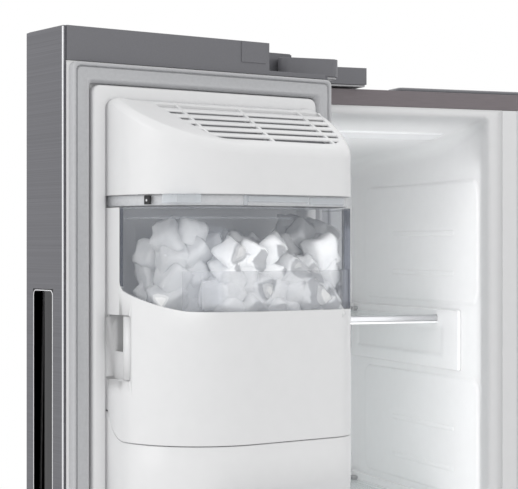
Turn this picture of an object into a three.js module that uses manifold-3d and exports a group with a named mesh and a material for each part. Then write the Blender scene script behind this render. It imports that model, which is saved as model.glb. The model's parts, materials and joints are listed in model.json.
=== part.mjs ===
// Side by side refrigerator with both doors open, ice maker and ice bucket in the freezer door.
// Millimetres, +Z up, the front of the cabinet faces -Y. Drawers are in and both doors stand open.
import * as THREE from 'three';
import { mergeVertices } from 'three/addons/utils/BufferGeometryUtils.js';
import Module from 'manifold-3d';

const wasm = await Module();
wasm.setup();

// ---- Driving dimensions -----------------------------------------------------------------------
// Cabinet places are measured from its left side (x), its front plane (y, inwards) and the floor (z).
const CASE = { width: 912, depth: 650, bottom: 38, top: 1750, sheet: 3 };
const FRONT_Y = -80;            // where the cabinet's front plane lies once the origin is the footprint's centre
const GAP = 0.3;                // clearance between touching pieces
const RAIL_HEIGHT = 23;         // metal rail along the top of the cabinet's front
const LINER = 3;                // moulded liner thickness
const FREEZER = { x0: 34, x1: 371, z0: 108, z1: 1714, depth: 545, front0: 3.3, front1: 393 };
const FRIDGE = { x0: 443, x1: 868, z0: 108, z1: 1714, depth: 545, front0: 418, front1: 908.7 };
const STEP = { depth: 395, z: 338 };                // the cavities are shallower over the compressor
const MACHINE = { y: 432, x0: 40, x1: 872, z: 306 };  // compressor compartment, open at the back
const SHELF_FRONT = 152;        // shelves stop short of the ice box of the closed door
const DRAWER_FRONT = 150;
const EVAPORATOR = { y: 478 };   // panel that hides the evaporator at the back of the freezer

// Doors are measured from their hinge edge (u), their outer face (v, inwards) and the floor (z).
const DOOR = { depth: 90, bottom: 70, top: 1787, capHeight: 41, gasketGap: 15, skin: 2, hem: 5 };
// Reach is the largest distance from the hinge line that still swings into the cavity.
const FREEZER_DOOR = { width: 396, open: 165.5, side: 1, reach: 354 };
const FRIDGE_DOOR = { width: 510, open: 136, side: -1, reach: 452 };
const PIVOT = { u: 18, v: 25 };
const NOTCH = { u: 96, floor: 1751.8, lip: 10 };    // room for the top hinge in each door's cap
const HANDLE = { v0: 19, v1: 64, z0: 620, z1: 1474, deep: 30, wall: 2 };
const RIM = { hinge: 30, inset: 34, v: 104, wide: 18, tall: 14, z0: 106, z1: 1718 };   // raised rim on each door's liner
const GASKET = { wide: 26, v: 103.5 };

// Ice maker, from the hood down to the seam under the bucket.
const ICE = { hinge: 36.5, inner: 50, overRim: 104.6, side: 342, back: 90.3, front: 245, corner: 110, wall: 3,
  seam: 1299, shoulder: 1452, rim: 1573, hoodBottom: 1587, hoodTop: 1703, slopeBackV: 112, slopeFrontV: 240,
  slopeFrontZ: 1644 };
const DISPENSER = { u0: 100, u1: 296, z0: 880, z1: 1290, v: 66, wall: 3, flange: 6, panelZ: 1206 };

// ---- Shape helpers ----------------------------------------------------------------------------
const WELD = 1e-3;
const ROUND_STEPS = 6;

function solid(geometry) {
  const bare = new THREE.BufferGeometry();
  bare.setAttribute('position', geometry.getAttribute('position'));
  if (geometry.index) bare.setIndex(geometry.index);
  const merged = mergeVertices(bare, WELD);
  return new wasm.Manifold(new wasm.Mesh({
    numProp: 3,
    vertProperties: new Float32Array(merged.getAttribute('position').array),
    triVerts: new Uint32Array(merged.index.array),
  }));
}

function box(x0, x1, y0, y1, z0, z1) {
  const geometry = new THREE.BoxGeometry(x1 - x0, y1 - y0, z1 - z0);
  geometry.translate((x0 + x1) / 2, (y0 + y1) / 2, (z0 + z1) / 2);
  return solid(geometry);
}

// A shape drawn in plan, standing between two heights.
function prism(shape, z0, z1, steps = ROUND_STEPS) {
  const geometry = new THREE.ExtrudeGeometry(shape, { depth: z1 - z0, bevelEnabled: false, curveSegments: steps });
  geometry.translate(0, 0, z0);
  return solid(geometry);
}

// A shape drawn from the side, in (y, z), running between two x places.
function sideways(shape, x0, x1, steps = ROUND_STEPS) {
  const geometry = new THREE.ExtrudeGeometry(shape, { depth: x1 - x0, bevelEnabled: false, curveSegments: steps });
  geometry.translate(0, 0, x0);
  const basis = new THREE.Matrix4().makeBasis(
    new THREE.Vector3(0, 1, 0), new THREE.Vector3(0, 0, 1), new THREE.Vector3(1, 0, 0));
  geometry.applyMatrix4(basis);
  return solid(geometry);
}

function outline(points) {
  return new THREE.Shape(points.map(([x, y]) => new THREE.Vector2(x, y)));
}

function cylinder(axis, [x, y, z], radius, length, sides = 20) {
  const geometry = new THREE.CylinderGeometry(radius, radius, length, sides);
  if (axis === 'x') geometry.rotateZ(Math.PI / 2);
  if (axis === 'z') geometry.rotateX(Math.PI / 2);
  geometry.translate(x, y, z);
  return solid(geometry);
}

// A tray open at the top: outer box less its inside.
function tray(x0, x1, y0, y1, z0, z1, wall) {
  return box(x0, x1, y0, y1, z0, z1).subtract(box(x0 + wall, x1 - wall, y0 + wall, y1 - wall, z0 + wall, z1 + 1));
}

// ---- Materials --------------------------------------------------------------------------------
const paint = (color, roughness, metalness = 0) => new THREE.MeshStandardMaterial({ color, roughness, metalness });
const STEEL = paint(0x8f9095, 0.32, 0.9);
const CAP = paint(0x87888e, 0.45);
const CASE_PAINT = paint(0x8a8b90, 0.5, 0.4);
const RAIL = paint(0x857f82, 0.45, 0.3);
const WHITE = paint(0xf1f2f3, 0.35);
const GASKET_GREY = paint(0xc4c7cb, 0.7);
const CLEAR = new THREE.MeshStandardMaterial({ color: 0xc9d2da, roughness: 0.1, transparent: true, opacity: 0.4 });
const GLASS = new THREE.MeshStandardMaterial({ color: 0xdfe8ea, roughness: 0.05, transparent: true, opacity: 0.35 });
const FOAM = paint(0xd9c98f, 0.9);
const BLACK = paint(0x151618, 0.4);
const ZINC = paint(0xb0b2b5, 0.4, 0.8);
const RUBBER = paint(0x202122, 0.85);

// ---- Assembly ---------------------------------------------------------------------------------
const refrigerator = new THREE.Group();
const cabinet = new THREE.Group();
cabinet.position.set(-CASE.width / 2, FRONT_Y, 0);
refrigerator.add(cabinet);

function add(name, manifold, material, parent = cabinet) {
  const built = manifold.getMesh();
  const geometry = new THREE.BufferGeometry();
  geometry.setAttribute('position', new THREE.BufferAttribute(new Float32Array(built.vertProperties), 3));
  geometry.setIndex(new THREE.BufferAttribute(new Uint32Array(built.triVerts), 1));
  geometry.computeVertexNormals();
  const mesh = new THREE.Mesh(geometry, material);
  mesh.name = name;
  parent.add(mesh);
}

// A door's group turns about its hinge line; its pieces are built in (u, v, z) and moved to that line.
function doorGroup({ open, side }) {
  const group = new THREE.Group();
  const pivotX = side > 0 ? PIVOT.u : CASE.width - PIVOT.u;
  group.position.set(pivotX, PIVOT.v - DOOR.depth - DOOR.gasketGap, 0);
  group.rotation.z = THREE.MathUtils.degToRad(-side * open);
  cabinet.add(group);
  return (name, manifold, material) => {
    const placed = manifold.translate([-PIVOT.u, -PIVOT.v, 0]);
    add(name, side > 0 ? placed : placed.mirror([1, 0, 0]), material, group);
  };
}

// ---- Cabinet ----------------------------------------------------------------------------------
const PAN_TOP = 50.3;            // top of the sheet metal pan that closes the cabinet's underside
const FLANGE_BOTTOM = 68;        // lower edge of the liners' front flanges
const SPINE = { half: 60, proud: 6, z0: 700, z1: 1500 };   // pressed channel down the back panel
const LEDGE = { reach: 7, tall: 9, back: 470 };            // shelf ledges on the liners' side walls
const PAST = 1;                  // how far a cutting shape runs past the face that it opens

function outerCase() {
  const { width, depth, bottom, top, sheet } = CASE;
  const hollow = box(sheet, width - sheet, -PAST, depth + PAST, bottom - PAST, top - sheet);
  const railRoom = box(-PAST, width + PAST, -PAST, sheet + GAP, top - RAIL_HEIGHT - GAP, top + PAST);
  const shell = box(0, width, 0, depth, bottom, top).subtract(hollow).subtract(railRoom);
  add('outer_case', shell, CASE_PAINT);
  const inner = sheet + GAP;
  const middle = width / 2;
  const plate = box(inner, width - inner, depth - sheet, depth, MACHINE.z + COVER.overlap, top - inner);
  const spine = box(middle - SPINE.half, middle + SPINE.half, depth - GAP, depth + SPINE.proud, SPINE.z0, SPINE.z1);
  add('back_panel', plate.add(spine), CASE_PAINT);
  add('top_rail', box(0, width, 0, sheet, top - RAIL_HEIGHT, top), RAIL);
}

// Side view of a cavity: full depth above the step over the compressor.
function cavityProfile({ z0, z1, depth }, grow, front) {
  return outline([[front, z0 - grow], [STEP.depth + grow, z0 - grow], [STEP.depth + grow, STEP.z - grow],
    [depth + grow, STEP.z - grow], [depth + grow, z1 + grow], [front, z1 + grow]]);
}

function cavity(space, grow, front = -PAST) {
  return sideways(cavityProfile(space, grow, front), space.x0 - grow, space.x1 + grow);
}

// Moulded ledges on both side walls carry the shelves.
function ledges(space, heights) {
  const { reach, tall, back } = LEDGE;
  let all = null;
  for (const z of heights) {
    for (const x of [space.x0 - PAST, space.x1 + PAST - reach]) {
      const one = box(x, x + reach, SHELF_FRONT + 10, back, z - tall, z);
      all = all ? all.add(one) : one;
    }
  }
  return all;
}

function liner(name, space, heights) {
  const flangeTop = CASE.top - RAIL_HEIGHT - GAP;
  const flange = box(space.front0, space.front1, GAP, GAP + LINER, FLANGE_BOTTOM, flangeTop);
  const tub = cavity(space, LINER, GAP).subtract(cavity(space, 0));
  const opened = flange.subtract(cavity(space, 0)).add(tub).add(ledges(space, heights));
  add(name, opened, WHITE);
}

function insulation() {
  const inner = CASE.sheet + GAP;
  const back = CASE.depth - CASE.sheet - GAP;
  const block = box(inner, CASE.width - inner, LINER + 2 * GAP, back, PAN_TOP + GAP, CASE.top - inner);
  const skin = LINER + GAP;
  const machine = box(MACHINE.x0, MACHINE.x1, MACHINE.y, CASE.depth + PAST, CASE.bottom, MACHINE.z);
  add('insulation', block.subtract(cavity(FREEZER, skin)).subtract(cavity(FRIDGE, skin)).subtract(machine), FOAM);
}

function mullionCover() {
  const flangeTop = CASE.top - RAIL_HEIGHT - GAP;
  const strip = box(FREEZER.front1 + GAP, FRIDGE.front0 - GAP, GAP, GAP + LINER, FLANGE_BOTTOM, flangeTop);
  add('mullion_cover', strip, WHITE);
}

const FEET_X = [62, CASE.width - 62];
const FOOT = { y: 46, padR: 24, padTall: 12, stemR: 6, stemTop: 50 };
const ROLLER = { y: 604, r: 18, half: 11, axle: 4, lug: 3, lugBottom: 10 };

function baseFrame() {
  const inner = CASE.sheet + GAP;
  const right = CASE.width - inner;
  let frame = box(inner, right, GAP, CASE.depth - CASE.sheet - GAP, CASE.bottom, PAN_TOP);
  frame = frame.add(box(inner, right, GAP, LINER + GAP, CASE.bottom, FLANGE_BOTTOM - GAP));
  for (const x of FEET_X) {
    frame = frame.subtract(cylinder('z', [x, FOOT.y, (CASE.bottom + PAN_TOP) / 2], FOOT.stemR + GAP, 20));
    const lugs = [x - ROLLER.half - ROLLER.lug - GAP, x + ROLLER.half + GAP];
    for (const lug of lugs) {
      const wide = ROLLER.r / 2;
      frame = frame.add(box(lug, lug + ROLLER.lug, ROLLER.y - wide, ROLLER.y + wide, ROLLER.lugBottom,
        CASE.bottom + PAST));
    }
    frame = frame.subtract(cylinder('x', [x, ROLLER.y, ROLLER.r], ROLLER.axle + GAP, 60));
  }
  const hinge = lowerHinge();
  frame = frame.add(hinge).add(hinge.mirror([1, 0, 0]).translate([CASE.width, 0, 0]));
  add('base_frame', frame, ZINC);
}

function feetAndRollers() {
  const stemTall = FOOT.stemTop - FOOT.padTall + 2;
  const axleLong = 2 * (ROLLER.half + ROLLER.lug + 1);
  FEET_X.forEach((x, i) => {
    const side = ['left', 'right'][i];
    const pad = cylinder('z', [x, FOOT.y, FOOT.padTall / 2], FOOT.padR, FOOT.padTall, 24);
    const stem = cylinder('z', [x, FOOT.y, FOOT.stemTop - stemTall / 2], FOOT.stemR, stemTall, 16);
    add(`foot_${side}`, pad.add(stem), RUBBER);
    const wheel = cylinder('x', [x, ROLLER.y, ROLLER.r], ROLLER.r, 2 * ROLLER.half, 24);
    const axle = cylinder('x', [x, ROLLER.y, ROLLER.r], ROLLER.axle, axleLong, 16);
    add(`roller_${side}`, wheel.add(axle), RUBBER);
  });
}

const GRILLE = { side: 14, z0: 14, z1: 59, deep: 34, wall: 4, slots: 7, pitch: 120, first: 50, bridge: 22,
  rows: [24, 34, 44], slot: 5, clip: 40 };

function toeGrille() {
  const { side, z0, z1, deep, wall, slots, pitch, first, bridge, rows, slot, clip } = GRILLE;
  const right = CASE.width - side;
  let grille = box(side, right, -deep, -GAP, z0, z1);
  grille = grille.subtract(box(side + 6, right - 6, wall - deep, -6, z0 - PAST, z1 - wall));
  for (let i = 0; i < slots; i += 1) {
    for (const z of rows) {
      const x = first + i * pitch;
      grille = grille.subtract(box(x, x + pitch - bridge, -deep - PAST, wall + PAST - deep, z, z + slot));
    }
  }
  for (const x of [3 * clip, CASE.width - 4 * clip]) grille = grille.add(box(x, x + clip, -8, -GAP, clip, z1));
  add('toe_grille', grille, CAP);
}

const COMPRESSOR = { x: 250, y: 545, r: 78, z0: 90, z1: 210, domeTop: 235, plate: 95, plateHalf: 60,
  plateZ0: 74, plateZ1: 92, mount: 80, mountR: 10 };

function compressor() {
  const { x, y, r, z0, z1, domeTop, plate, plateHalf, plateZ0, plateZ1, mount, mountR } = COMPRESSOR;
  const can = cylinder('z', [x, y, (z0 + z1) / 2], r, z1 - z0, 28);
  const dome = cylinder('z', [x, y, z1 + (domeTop - z1) / 2], r * 0.7, domeTop - z1, 28);
  let all = can.add(dome).add(box(x - plate, x + plate, y - plateHalf, y + plateHalf, plateZ0, plateZ1));
  const floor = PAN_TOP + GAP;
  const mountTop = plateZ0 + 3.4;
  for (const side of [-mount, mount]) {
    all = all.add(cylinder('z', [x + side, y, (floor + mountTop) / 2], mountR, mountTop - floor, 14));
  }
  add('compressor', all, BLACK);
}

const FAN = { x: 520, y: 545, z: 175, hub: 20, deep: 26, blades: 5, reach: 70, root: 14, chord: 20, wide: 34,
  pitch: 0.5 };

function condenserFan() {
  const { x, y, z, hub, deep, blades, reach, root, chord, wide, pitch } = FAN;
  let rotor = cylinder('x', [x, y, z], hub, deep, 20);
  for (let i = 0; i < blades; i += 1) {
    const blade = new THREE.BoxGeometry(chord, wide, reach - root);
    blade.rotateZ(pitch);
    blade.translate(0, 0, (reach + root) / 2);
    blade.rotateX((i * 2 * Math.PI) / blades);
    blade.translate(x, y, z);
    rotor = rotor.add(solid(blade));
  }
  add('condenser_fan', rotor, BLACK);
}

const COVER = { overlap: 8, first: 90, pitch: 62, slots: 12, wide: 44, tall: 12, rows: [100, 170, 240] };

function machineCover() {
  const { overlap, first, pitch, slots, wide, tall, rows } = COVER;
  const inner = CASE.sheet + GAP;
  const front = CASE.depth - CASE.sheet;
  let cover = box(inner, CASE.width - inner, front, CASE.depth, PAN_TOP + GAP, MACHINE.z + overlap - GAP);
  for (let i = 0; i < slots; i += 1) {
    for (const z of rows) {
      const x = first + i * pitch;
      cover = cover.subtract(box(x, x + wide, front - PAST, CASE.depth + PAST, z, z + tall));
    }
  }
  add('machine_cover', cover, CASE_PAINT);
}

// ---- Hinges -----------------------------------------------------------------------------------
const HINGE = { pinX: PIVOT.u, pinY: PIVOT.v - DOOR.depth - DOOR.gasketGap, noseR: 13, noseEnd: 77,
  armX0: 60, armX1: 90, blockX1: 168, blockY1: 58, plate: 1755, coverTop: 1779, blockTop: 1770 };

function hingePlan(grow, blockFront) {
  const { pinX, pinY, noseR, noseEnd, armX0, armX1, blockX1, blockY1 } = HINGE;
  const r = noseR + grow;
  const plan = new THREE.Shape();
  plan.absarc(pinX, pinY, r, Math.PI / 2, Math.PI * 1.5);
  plan.absarc(noseEnd, pinY, r, Math.PI * 1.5, Math.PI * 2);
  plan.lineTo(armX1 + grow, blockFront);
  plan.lineTo(blockX1 + grow, blockFront);
  plan.lineTo(blockX1 + grow, blockY1 + grow);
  plan.lineTo(armX0 - grow, blockY1 + grow);
  plan.lineTo(armX0 - grow, pinY + r);
  return plan;
}

// Builds for the left side and mirrors about the cabinet's middle for the right one.
function bothSides(name, manifold, material) {
  add(`${name}_left`, manifold, material);
  add(`${name}_right`, manifold.mirror([1, 0, 0]).translate([CASE.width, 0, 0]), material);
}

function hinges() {
  const { pinX, pinY, plate, coverTop, blockTop } = HINGE;
  const arm = prism(hingePlan(-2, -8), NOTCH.floor + 0.6, plate);
  const pin = cylinder('z', [pinX, pinY, 1743.5], 5, 20, 20);
  bothSides('hinge_plate_top', arm.add(pin), ZINC);
  const shell = prism(hingePlan(0, -10), plate + GAP, coverTop);
  const lowered = box(HINGE.armX0 - 2, HINGE.blockX1 + 2, -9, HINGE.blockY1 + 2, blockTop, coverTop + 1);
  bothSides('hinge_cover', shell.subtract(lowered), CAP);
}

const LOWER_HINGE = { r: 14, x1: 120 };

// Plate and pin that carry a door from below, part of the base frame.
function lowerHinge() {
  const { pinX, pinY } = HINGE;
  const plan = new THREE.Shape();
  plan.absarc(pinX, pinY, LOWER_HINGE.r, Math.PI, Math.PI * 1.5);
  plan.lineTo(LOWER_HINGE.x1 - 30, pinY - LOWER_HINGE.r);
  plan.lineTo(LOWER_HINGE.x1, 1);
  plan.lineTo(pinX - LOWER_HINGE.r, 1);
  const plate = prism(plan, 60.5, 66);
  return plate.add(cylinder('z', [pinX, pinY, 76], 6, 22, 20));
}

// ---- Shelves and drawers ----------------------------------------------------------------------
const SHELF = { back: 468, side: 0.5, bar: 6, barBelow: 4, barAbove: 10, pane: 6, stop: 4, stopTall: 16 };

function glassShelf(name, space, z) {
  const { back, side, bar, barBelow, barAbove, pane, stop, stopTall } = SHELF;
  const x0 = space.x0 + side;
  const x1 = space.x1 - side;
  const front = box(x0, x1, SHELF_FRONT, SHELF_FRONT + bar, z - barBelow, z + barAbove);
  const glass = box(x0, x1, SHELF_FRONT + bar - 1, back, z + GAP, z + pane);
  const fence = box(x0, x1, back - stop, back, z + pane - 1, z + stopTall);
  add(name, front.add(glass).add(fence), GLASS);
}

const DRAWER = { side: 6, wall: 4, drop: 14, face: 8, gripInset: 60, gripDeep: 22, gripTall: 18 };

function drawer(name, space, z0, z1, depth) {
  const { side, wall, drop, face, gripInset, gripDeep, gripTall } = DRAWER;
  const x0 = space.x0 + side;
  const x1 = space.x1 - side;
  const front = DRAWER_FRONT;
  const bin = tray(x0, x1, front, front + depth, z0, z1 - drop, wall);
  const plate = box(x0, x1, front - face, front + wall, z0, z1);
  const grip = box(x0 + gripInset, x1 - gripInset, front - gripDeep, front - face + 1, z1 - gripTall, z1);
  const fingers = box(x0 + gripInset + wall, x1 - gripInset - wall, front - gripDeep + wall, front - face,
    z1 - gripTall - 1, z1 - wall - 1);
  add(name, bin.add(plate).add(grip).subtract(fingers), CLEAR);
}

const AIR_SLOTS = { heights: [1600, 1280, 990, 700], count: 5, first: 80, pitch: 38, wide: 26, tall: 10 };
const FREEZER_SHELVES = [1412, 1120, 830];
const FRIDGE_SHELVES = [1430, 1140, 860];
const CRISPER_COVER = 566;
const DRAWERS = { upperZ0: 352, lowerZ0: 112, lowerZ1: 334, upperDeep: 310, lowerDeep: 235, freezerZ1: 590, crisperZ1: 552 };

function evaporatorCover() {
  const { x0, x1, z1 } = FREEZER;
  const { heights, count, first, pitch, wide, tall } = AIR_SLOTS;
  const thick = 4;
  let cover = box(x0 + 1, x1 - 1, EVAPORATOR.y, EVAPORATOR.y + thick, STEP.z + GAP, z1 - 1);
  for (const z of heights) {
    for (let i = 0; i < count; i += 1) {
      const x = x0 + first + i * pitch;
      cover = cover.subtract(box(x, x + wide, EVAPORATOR.y - 1, EVAPORATOR.y + thick + 1, z, z + tall));
    }
  }
  add('evaporator_cover', cover, WHITE);
}

function interior() {
  const { upperZ0, lowerZ0, lowerZ1, upperDeep, lowerDeep, freezerZ1, crisperZ1 } = DRAWERS;
  evaporatorCover();
  FREEZER_SHELVES.forEach((z, i) => glassShelf(`freezer_shelf_${i + 1}`, FREEZER, z));
  FRIDGE_SHELVES.forEach((z, i) => glassShelf(`fridge_shelf_${i + 1}`, FRIDGE, z));
  glassShelf('crisper_cover', FRIDGE, CRISPER_COVER);
  drawer('freezer_drawer_1', FREEZER, upperZ0, freezerZ1, upperDeep);
  drawer('freezer_drawer_2', FREEZER, lowerZ0, lowerZ1, lowerDeep);
  drawer('crisper_1', FRIDGE, upperZ0, crisperZ1, upperDeep);
  drawer('crisper_2', FRIDGE, lowerZ0, lowerZ1, lowerDeep);
}

// ---- Doors ------------------------------------------------------------------------------------
function handleRoom(width, grow) {
  const { v0, v1, z0, z1, deep } = HANDLE;
  return box(width - deep - grow, width + 1, v0 - grow, v1 + grow, z0 - grow, z1 + grow);
}

// Sheet steel round the front and both sides, with a hem folded in along each back edge.
function doorSkin(width) {
  const { skin, hem, bottom, top, depth } = DOOR;
  const back = depth - 1;
  const upper = top - 1;
  const inside = box(skin, width - skin, skin, back - skin, bottom - 1, upper + 1);
  const mouth = box(hem, width - hem, skin, back + 1, bottom - 1, upper + 1);
  const hingeRoom = box(-1, hem + 1, NOTCH.lip, depth, NOTCH.floor, top);
  const channel = box(0, width, 0, back, bottom, upper).subtract(inside).subtract(mouth).subtract(hingeRoom);
  return channel.subtract(handleRoom(width, HANDLE.wall + GAP));
}

function doorCore(width) {
  const { skin, bottom, top, capHeight } = DOOR;
  const edge = skin + GAP;
  const block = box(edge, width - edge, edge, DOOR.depth - 4, bottom + 2, top - capHeight - GAP);
  const pins = cylinder('z', [PIVOT.u, PIVOT.v, 1740], 6, 30).add(cylinder('z', [PIVOT.u, PIVOT.v, 80], 6 + 2 * GAP, 30));
  return block.subtract(handleRoom(width, HANDLE.wall + GAP)).subtract(pins);
}

// Small cover in the cap over the hinge screws, beside the notch.
const PLUG = { u0: NOTCH.u + 6, u1: NOTCH.u + 44, proud: 1.2, above: 14 };

function doorCap(width) {
  const { top, capHeight, depth, skin, hem } = DOOR;
  const base = top - capHeight + GAP;
  const edge = skin + GAP;
  const tongue = box(hem + GAP, width - hem - GAP, edge, depth, base, top);
  let cap = box(edge, width - edge, edge, depth - 1 - edge, base, top).add(tongue);
  const room = box(-1, NOTCH.u, NOTCH.lip, depth + 1, NOTCH.floor, top + 1);
  cap = cap.subtract(room).subtract(cylinder('z', [PIVOT.u, PIVOT.v, base], 5 + GAP, 30));
  const plug = box(PLUG.u0, PLUG.u1, depth - 1, depth + PLUG.proud, base + PLUG.above, top - 1);
  return cap.add(plug);
}

function doorRim(width) {
  const u1 = width - RIM.inset;
  const outer = box(RIM.hinge, u1, DOOR.depth - 1, RIM.v, RIM.z0, RIM.z1);
  const inner = box(RIM.hinge + RIM.wide, u1 - RIM.wide, DOOR.depth - 2, RIM.v + 1,
    RIM.z0 + RIM.tall, RIM.z1 - RIM.tall);
  return outer.subtract(inner);
}

function doorLinerPlate(width) {
  const edge = DOOR.hem + GAP;
  const upper = DOOR.top - DOOR.capHeight - GAP;
  return box(edge, width - edge, DOOR.depth - 4 + GAP, DOOR.depth, DOOR.bottom + 2, upper).add(doorRim(width));
}

function doorGasket(width) {
  const rimOuter0 = RIM.hinge - GAP;
  const rimOuter1 = width - RIM.inset + GAP;
  const v0 = DOOR.depth + GAP;
  const outer = box(rimOuter0 - GASKET.wide, rimOuter1 + GASKET.wide, v0, GASKET.v,
    RIM.z0 - GAP - GASKET.wide, RIM.z1 + GAP + GASKET.wide);
  return outer.subtract(box(rimOuter0, rimOuter1, v0 - 1, GASKET.v + 1, RIM.z0 - GAP, RIM.z1 + GAP));
}

function doorHandle(width) {
  const { v0, v1, z0, z1, wall } = HANDLE;
  const shell = handleRoom(width, wall).intersect(box(0, width, 0, DOOR.depth, 0, DOOR.top));
  const lipBack = v0 + 26;
  const pocket = shell.subtract(handleRoom(width, 0));
  return pocket.add(box(width - 6, width, lipBack, v1 + wall, z0 - wall, z1 + wall));
}

function doorBin({ width, reach }, z, deep, tall) {
  const u0 = RIM.hinge + RIM.wide + 2;
  const swing = PIVOT.u + Math.sqrt(reach ** 2 - (DOOR.depth + deep - PIVOT.v) ** 2);
  const u1 = Math.min(width - RIM.inset - RIM.wide - 2, swing);
  return tray(u0, u1, DOOR.depth + GAP, DOOR.depth + deep, z, z + tall, 3);
}

// ---- Ice maker --------------------------------------------------------------------------------
// Plan of the ice box: straight free side, large free corner, straight front. The hinge side stands over the
// door liner's rim, then bends in to clear the cavity as the door swings.
function icePlan(inset, back = ICE.back) {
  const { hinge, inner, overRim, side, front, corner } = ICE;
  const plan = new THREE.Shape();
  if (back < overRim) {
    plan.moveTo(inner + inset, back);
    plan.lineTo(inner + inset, overRim + inset);
    plan.lineTo(hinge + inset, overRim + inset);
  } else {
    plan.moveTo(hinge + inset, back);
  }
  plan.lineTo(hinge + inset, 132);
  plan.quadraticCurveTo(hinge + inset, 156, hinge + 18.5 + inset, 192);
  plan.lineTo(hinge + 31.5 + inset, 217);
  plan.quadraticCurveTo(hinge + 45 + inset, front - inset, hinge + 75, front - inset);
  plan.lineTo(side - corner, front - inset);
  plan.absarc(side - corner, front - corner, corner - inset, Math.PI / 2, 0, true);
  plan.lineTo(side - inset, back);
  return plan;
}

function slopeZ(v) {
  const { hoodTop, slopeBackV, slopeFrontV, slopeFrontZ } = ICE;
  return hoodTop + ((v - slopeBackV) * (slopeFrontZ - hoodTop)) / (slopeFrontV - slopeBackV);
}

// Everything above the hood's slope, lowered by drop.
function aboveSlope(drop) {
  const { hoodTop, slopeBackV } = ICE;
  const far = 300;
  return sideways(outline([[slopeBackV, hoodTop - drop], [far, slopeZ(far) - drop], [far, hoodTop + 50],
    [0, hoodTop + 50], [0, hoodTop - drop]]), 0, 400);
}

const VENT = { v0: 124.5, pitch: 17.6, slat: 9.2, rows: 6, ribs: [64, 118, 172, 226, 280] };

function hood() {
  const { wall, hoodBottom, hoodTop } = ICE;
  const outer = prism(icePlan(0), hoodBottom, hoodTop, 10).subtract(aboveSlope(0));
  const room = prism(icePlan(wall, ICE.back + wall), hoodBottom + wall, hoodTop, 10).subtract(aboveSlope(wall));
  const mouth = box(92, 292, 130, 212, hoodBottom - 1, hoodBottom + wall + 1);
  let shell = outer.subtract(room).subtract(mouth);
  for (let row = 0; row < VENT.rows; row += 1) {
    const v = VENT.v0 + row * VENT.pitch;
    for (let i = 0; i + 1 < VENT.ribs.length; i += 1) {
      const z = slopeZ(v);
      const shift = row * 4;
      const u0 = Math.max(VENT.ribs[i] + 3 + (i ? 0 : shift), 60);
      const u1 = VENT.ribs[i + 1] - 3 - (i + 2 === VENT.ribs.length ? shift : 0);
      shell = shell.subtract(box(u0, u1, v, v + VENT.pitch - VENT.slat, z - 16, z + 10));
    }
  }
  return shell.subtract(cylinder('z', [TEST_BUTTON.u, TEST_BUTTON.v, hoodBottom], 4 + GAP, 12, 16));
}

const TEST_BUTTON = { u: 312, v: 128 };
const TRAY_AXIS = { v: 168, z: 1619 };

const TRAY = { u0: 106, wide: 26, half: 9, wall: 3, cells: 6, cell: 25.5, axle: 4 };

function iceTray() {
  const { v, z } = TRAY_AXIS;
  const { u0, wide, half, wall, cells, cell, axle } = TRAY;
  const pitch = cell + wall;
  const u1 = u0 + cells * pitch + wall;
  let body = box(u0, u1, v - wide, v + wide, z - half, z + half);
  for (let i = 0; i < cells; i += 1) {
    for (const row of [v - wide + wall, v + wall / 2]) {
      const u = u0 + wall + i * pitch;
      body = body.subtract(box(u, u + cell, row, row + wide - 1.5 * wall, z - half + wall, z + half + 1));
    }
  }
  return body.add(cylinder('x', [(u0 + u1) / 2, v, z], axle, u1 - u0 + 28, 16));
}

// The window's sill slopes down along the free side, then runs level along the front.
const SILL = { back: 128, high: 1477, level: 215 };

function underSill(grow) {
  const { shoulder } = ICE;
  const { back, high, level } = SILL;
  return sideways(outline([[back - 1, shoulder - 2], [level, shoulder - 2], [level, shoulder + grow],
    [back - 1, high + grow]]), 200, 340);
}

function windowShell(inset) {
  const { wall, shoulder, rim } = ICE;
  const outer = prism(icePlan(inset, SILL.back), shoulder, rim, 10);
  const inner = prism(icePlan(1 + wall, SILL.back + wall), shoulder - 3, rim + 1, 10);
  return outer.subtract(inner);
}

function bucketClear() {
  return windowShell(1).subtract(underSill(GAP));
}

const CHUTE = { u0: 172, u1: 224, v0: 128, v1: 176, recessV: 66, frontV: 34, elbowZ: 1262, recessZ: 1200 };
const GRIP = { deep: 11, v0: 98, v1: 151, z0: 1370, z1: 1447 };
const BUCKET = { wall: 14, troughV: 130, floor: 75, columnU: 300, core: { u0: 70, u1: 150, v0: 102.3, v1: 180, tall: 60 } };

function bucketBase() {
  const { side, seam, shoulder, rim, back } = ICE;
  const body = prism(icePlan(0), seam + GAP, shoulder - GAP, 10);
  const column = box(BUCKET.columnU, side - 1, back, SILL.back - GAP, shoulder - 1, rim);
  const trough = prism(icePlan(BUCKET.wall, BUCKET.troughV), seam + BUCKET.floor, shoulder + 1, 6);
  const chute = box(CHUTE.u0, CHUTE.u1, CHUTE.v0, CHUTE.v1, seam - 1, seam + BUCKET.floor + 5);
  const grip = box(side - GRIP.deep, side + 1, GRIP.v0, GRIP.v1, GRIP.z0, GRIP.z1);
  const { core } = BUCKET;
  const lightening = box(core.u0, core.u1, core.v0, core.v1, seam - 1, seam + core.tall);
  const sill = windowShell(0).add(prism(icePlan(0, SILL.back), shoulder - 1, shoulder, 10)).intersect(underSill(0));
  return body.add(column).add(sill).subtract(trough).subtract(chute).subtract(grip).subtract(lightening);
}

const AUGER = { u: 198, z: 1402, r: 22, v0: 134, v1: 226 };

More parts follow.
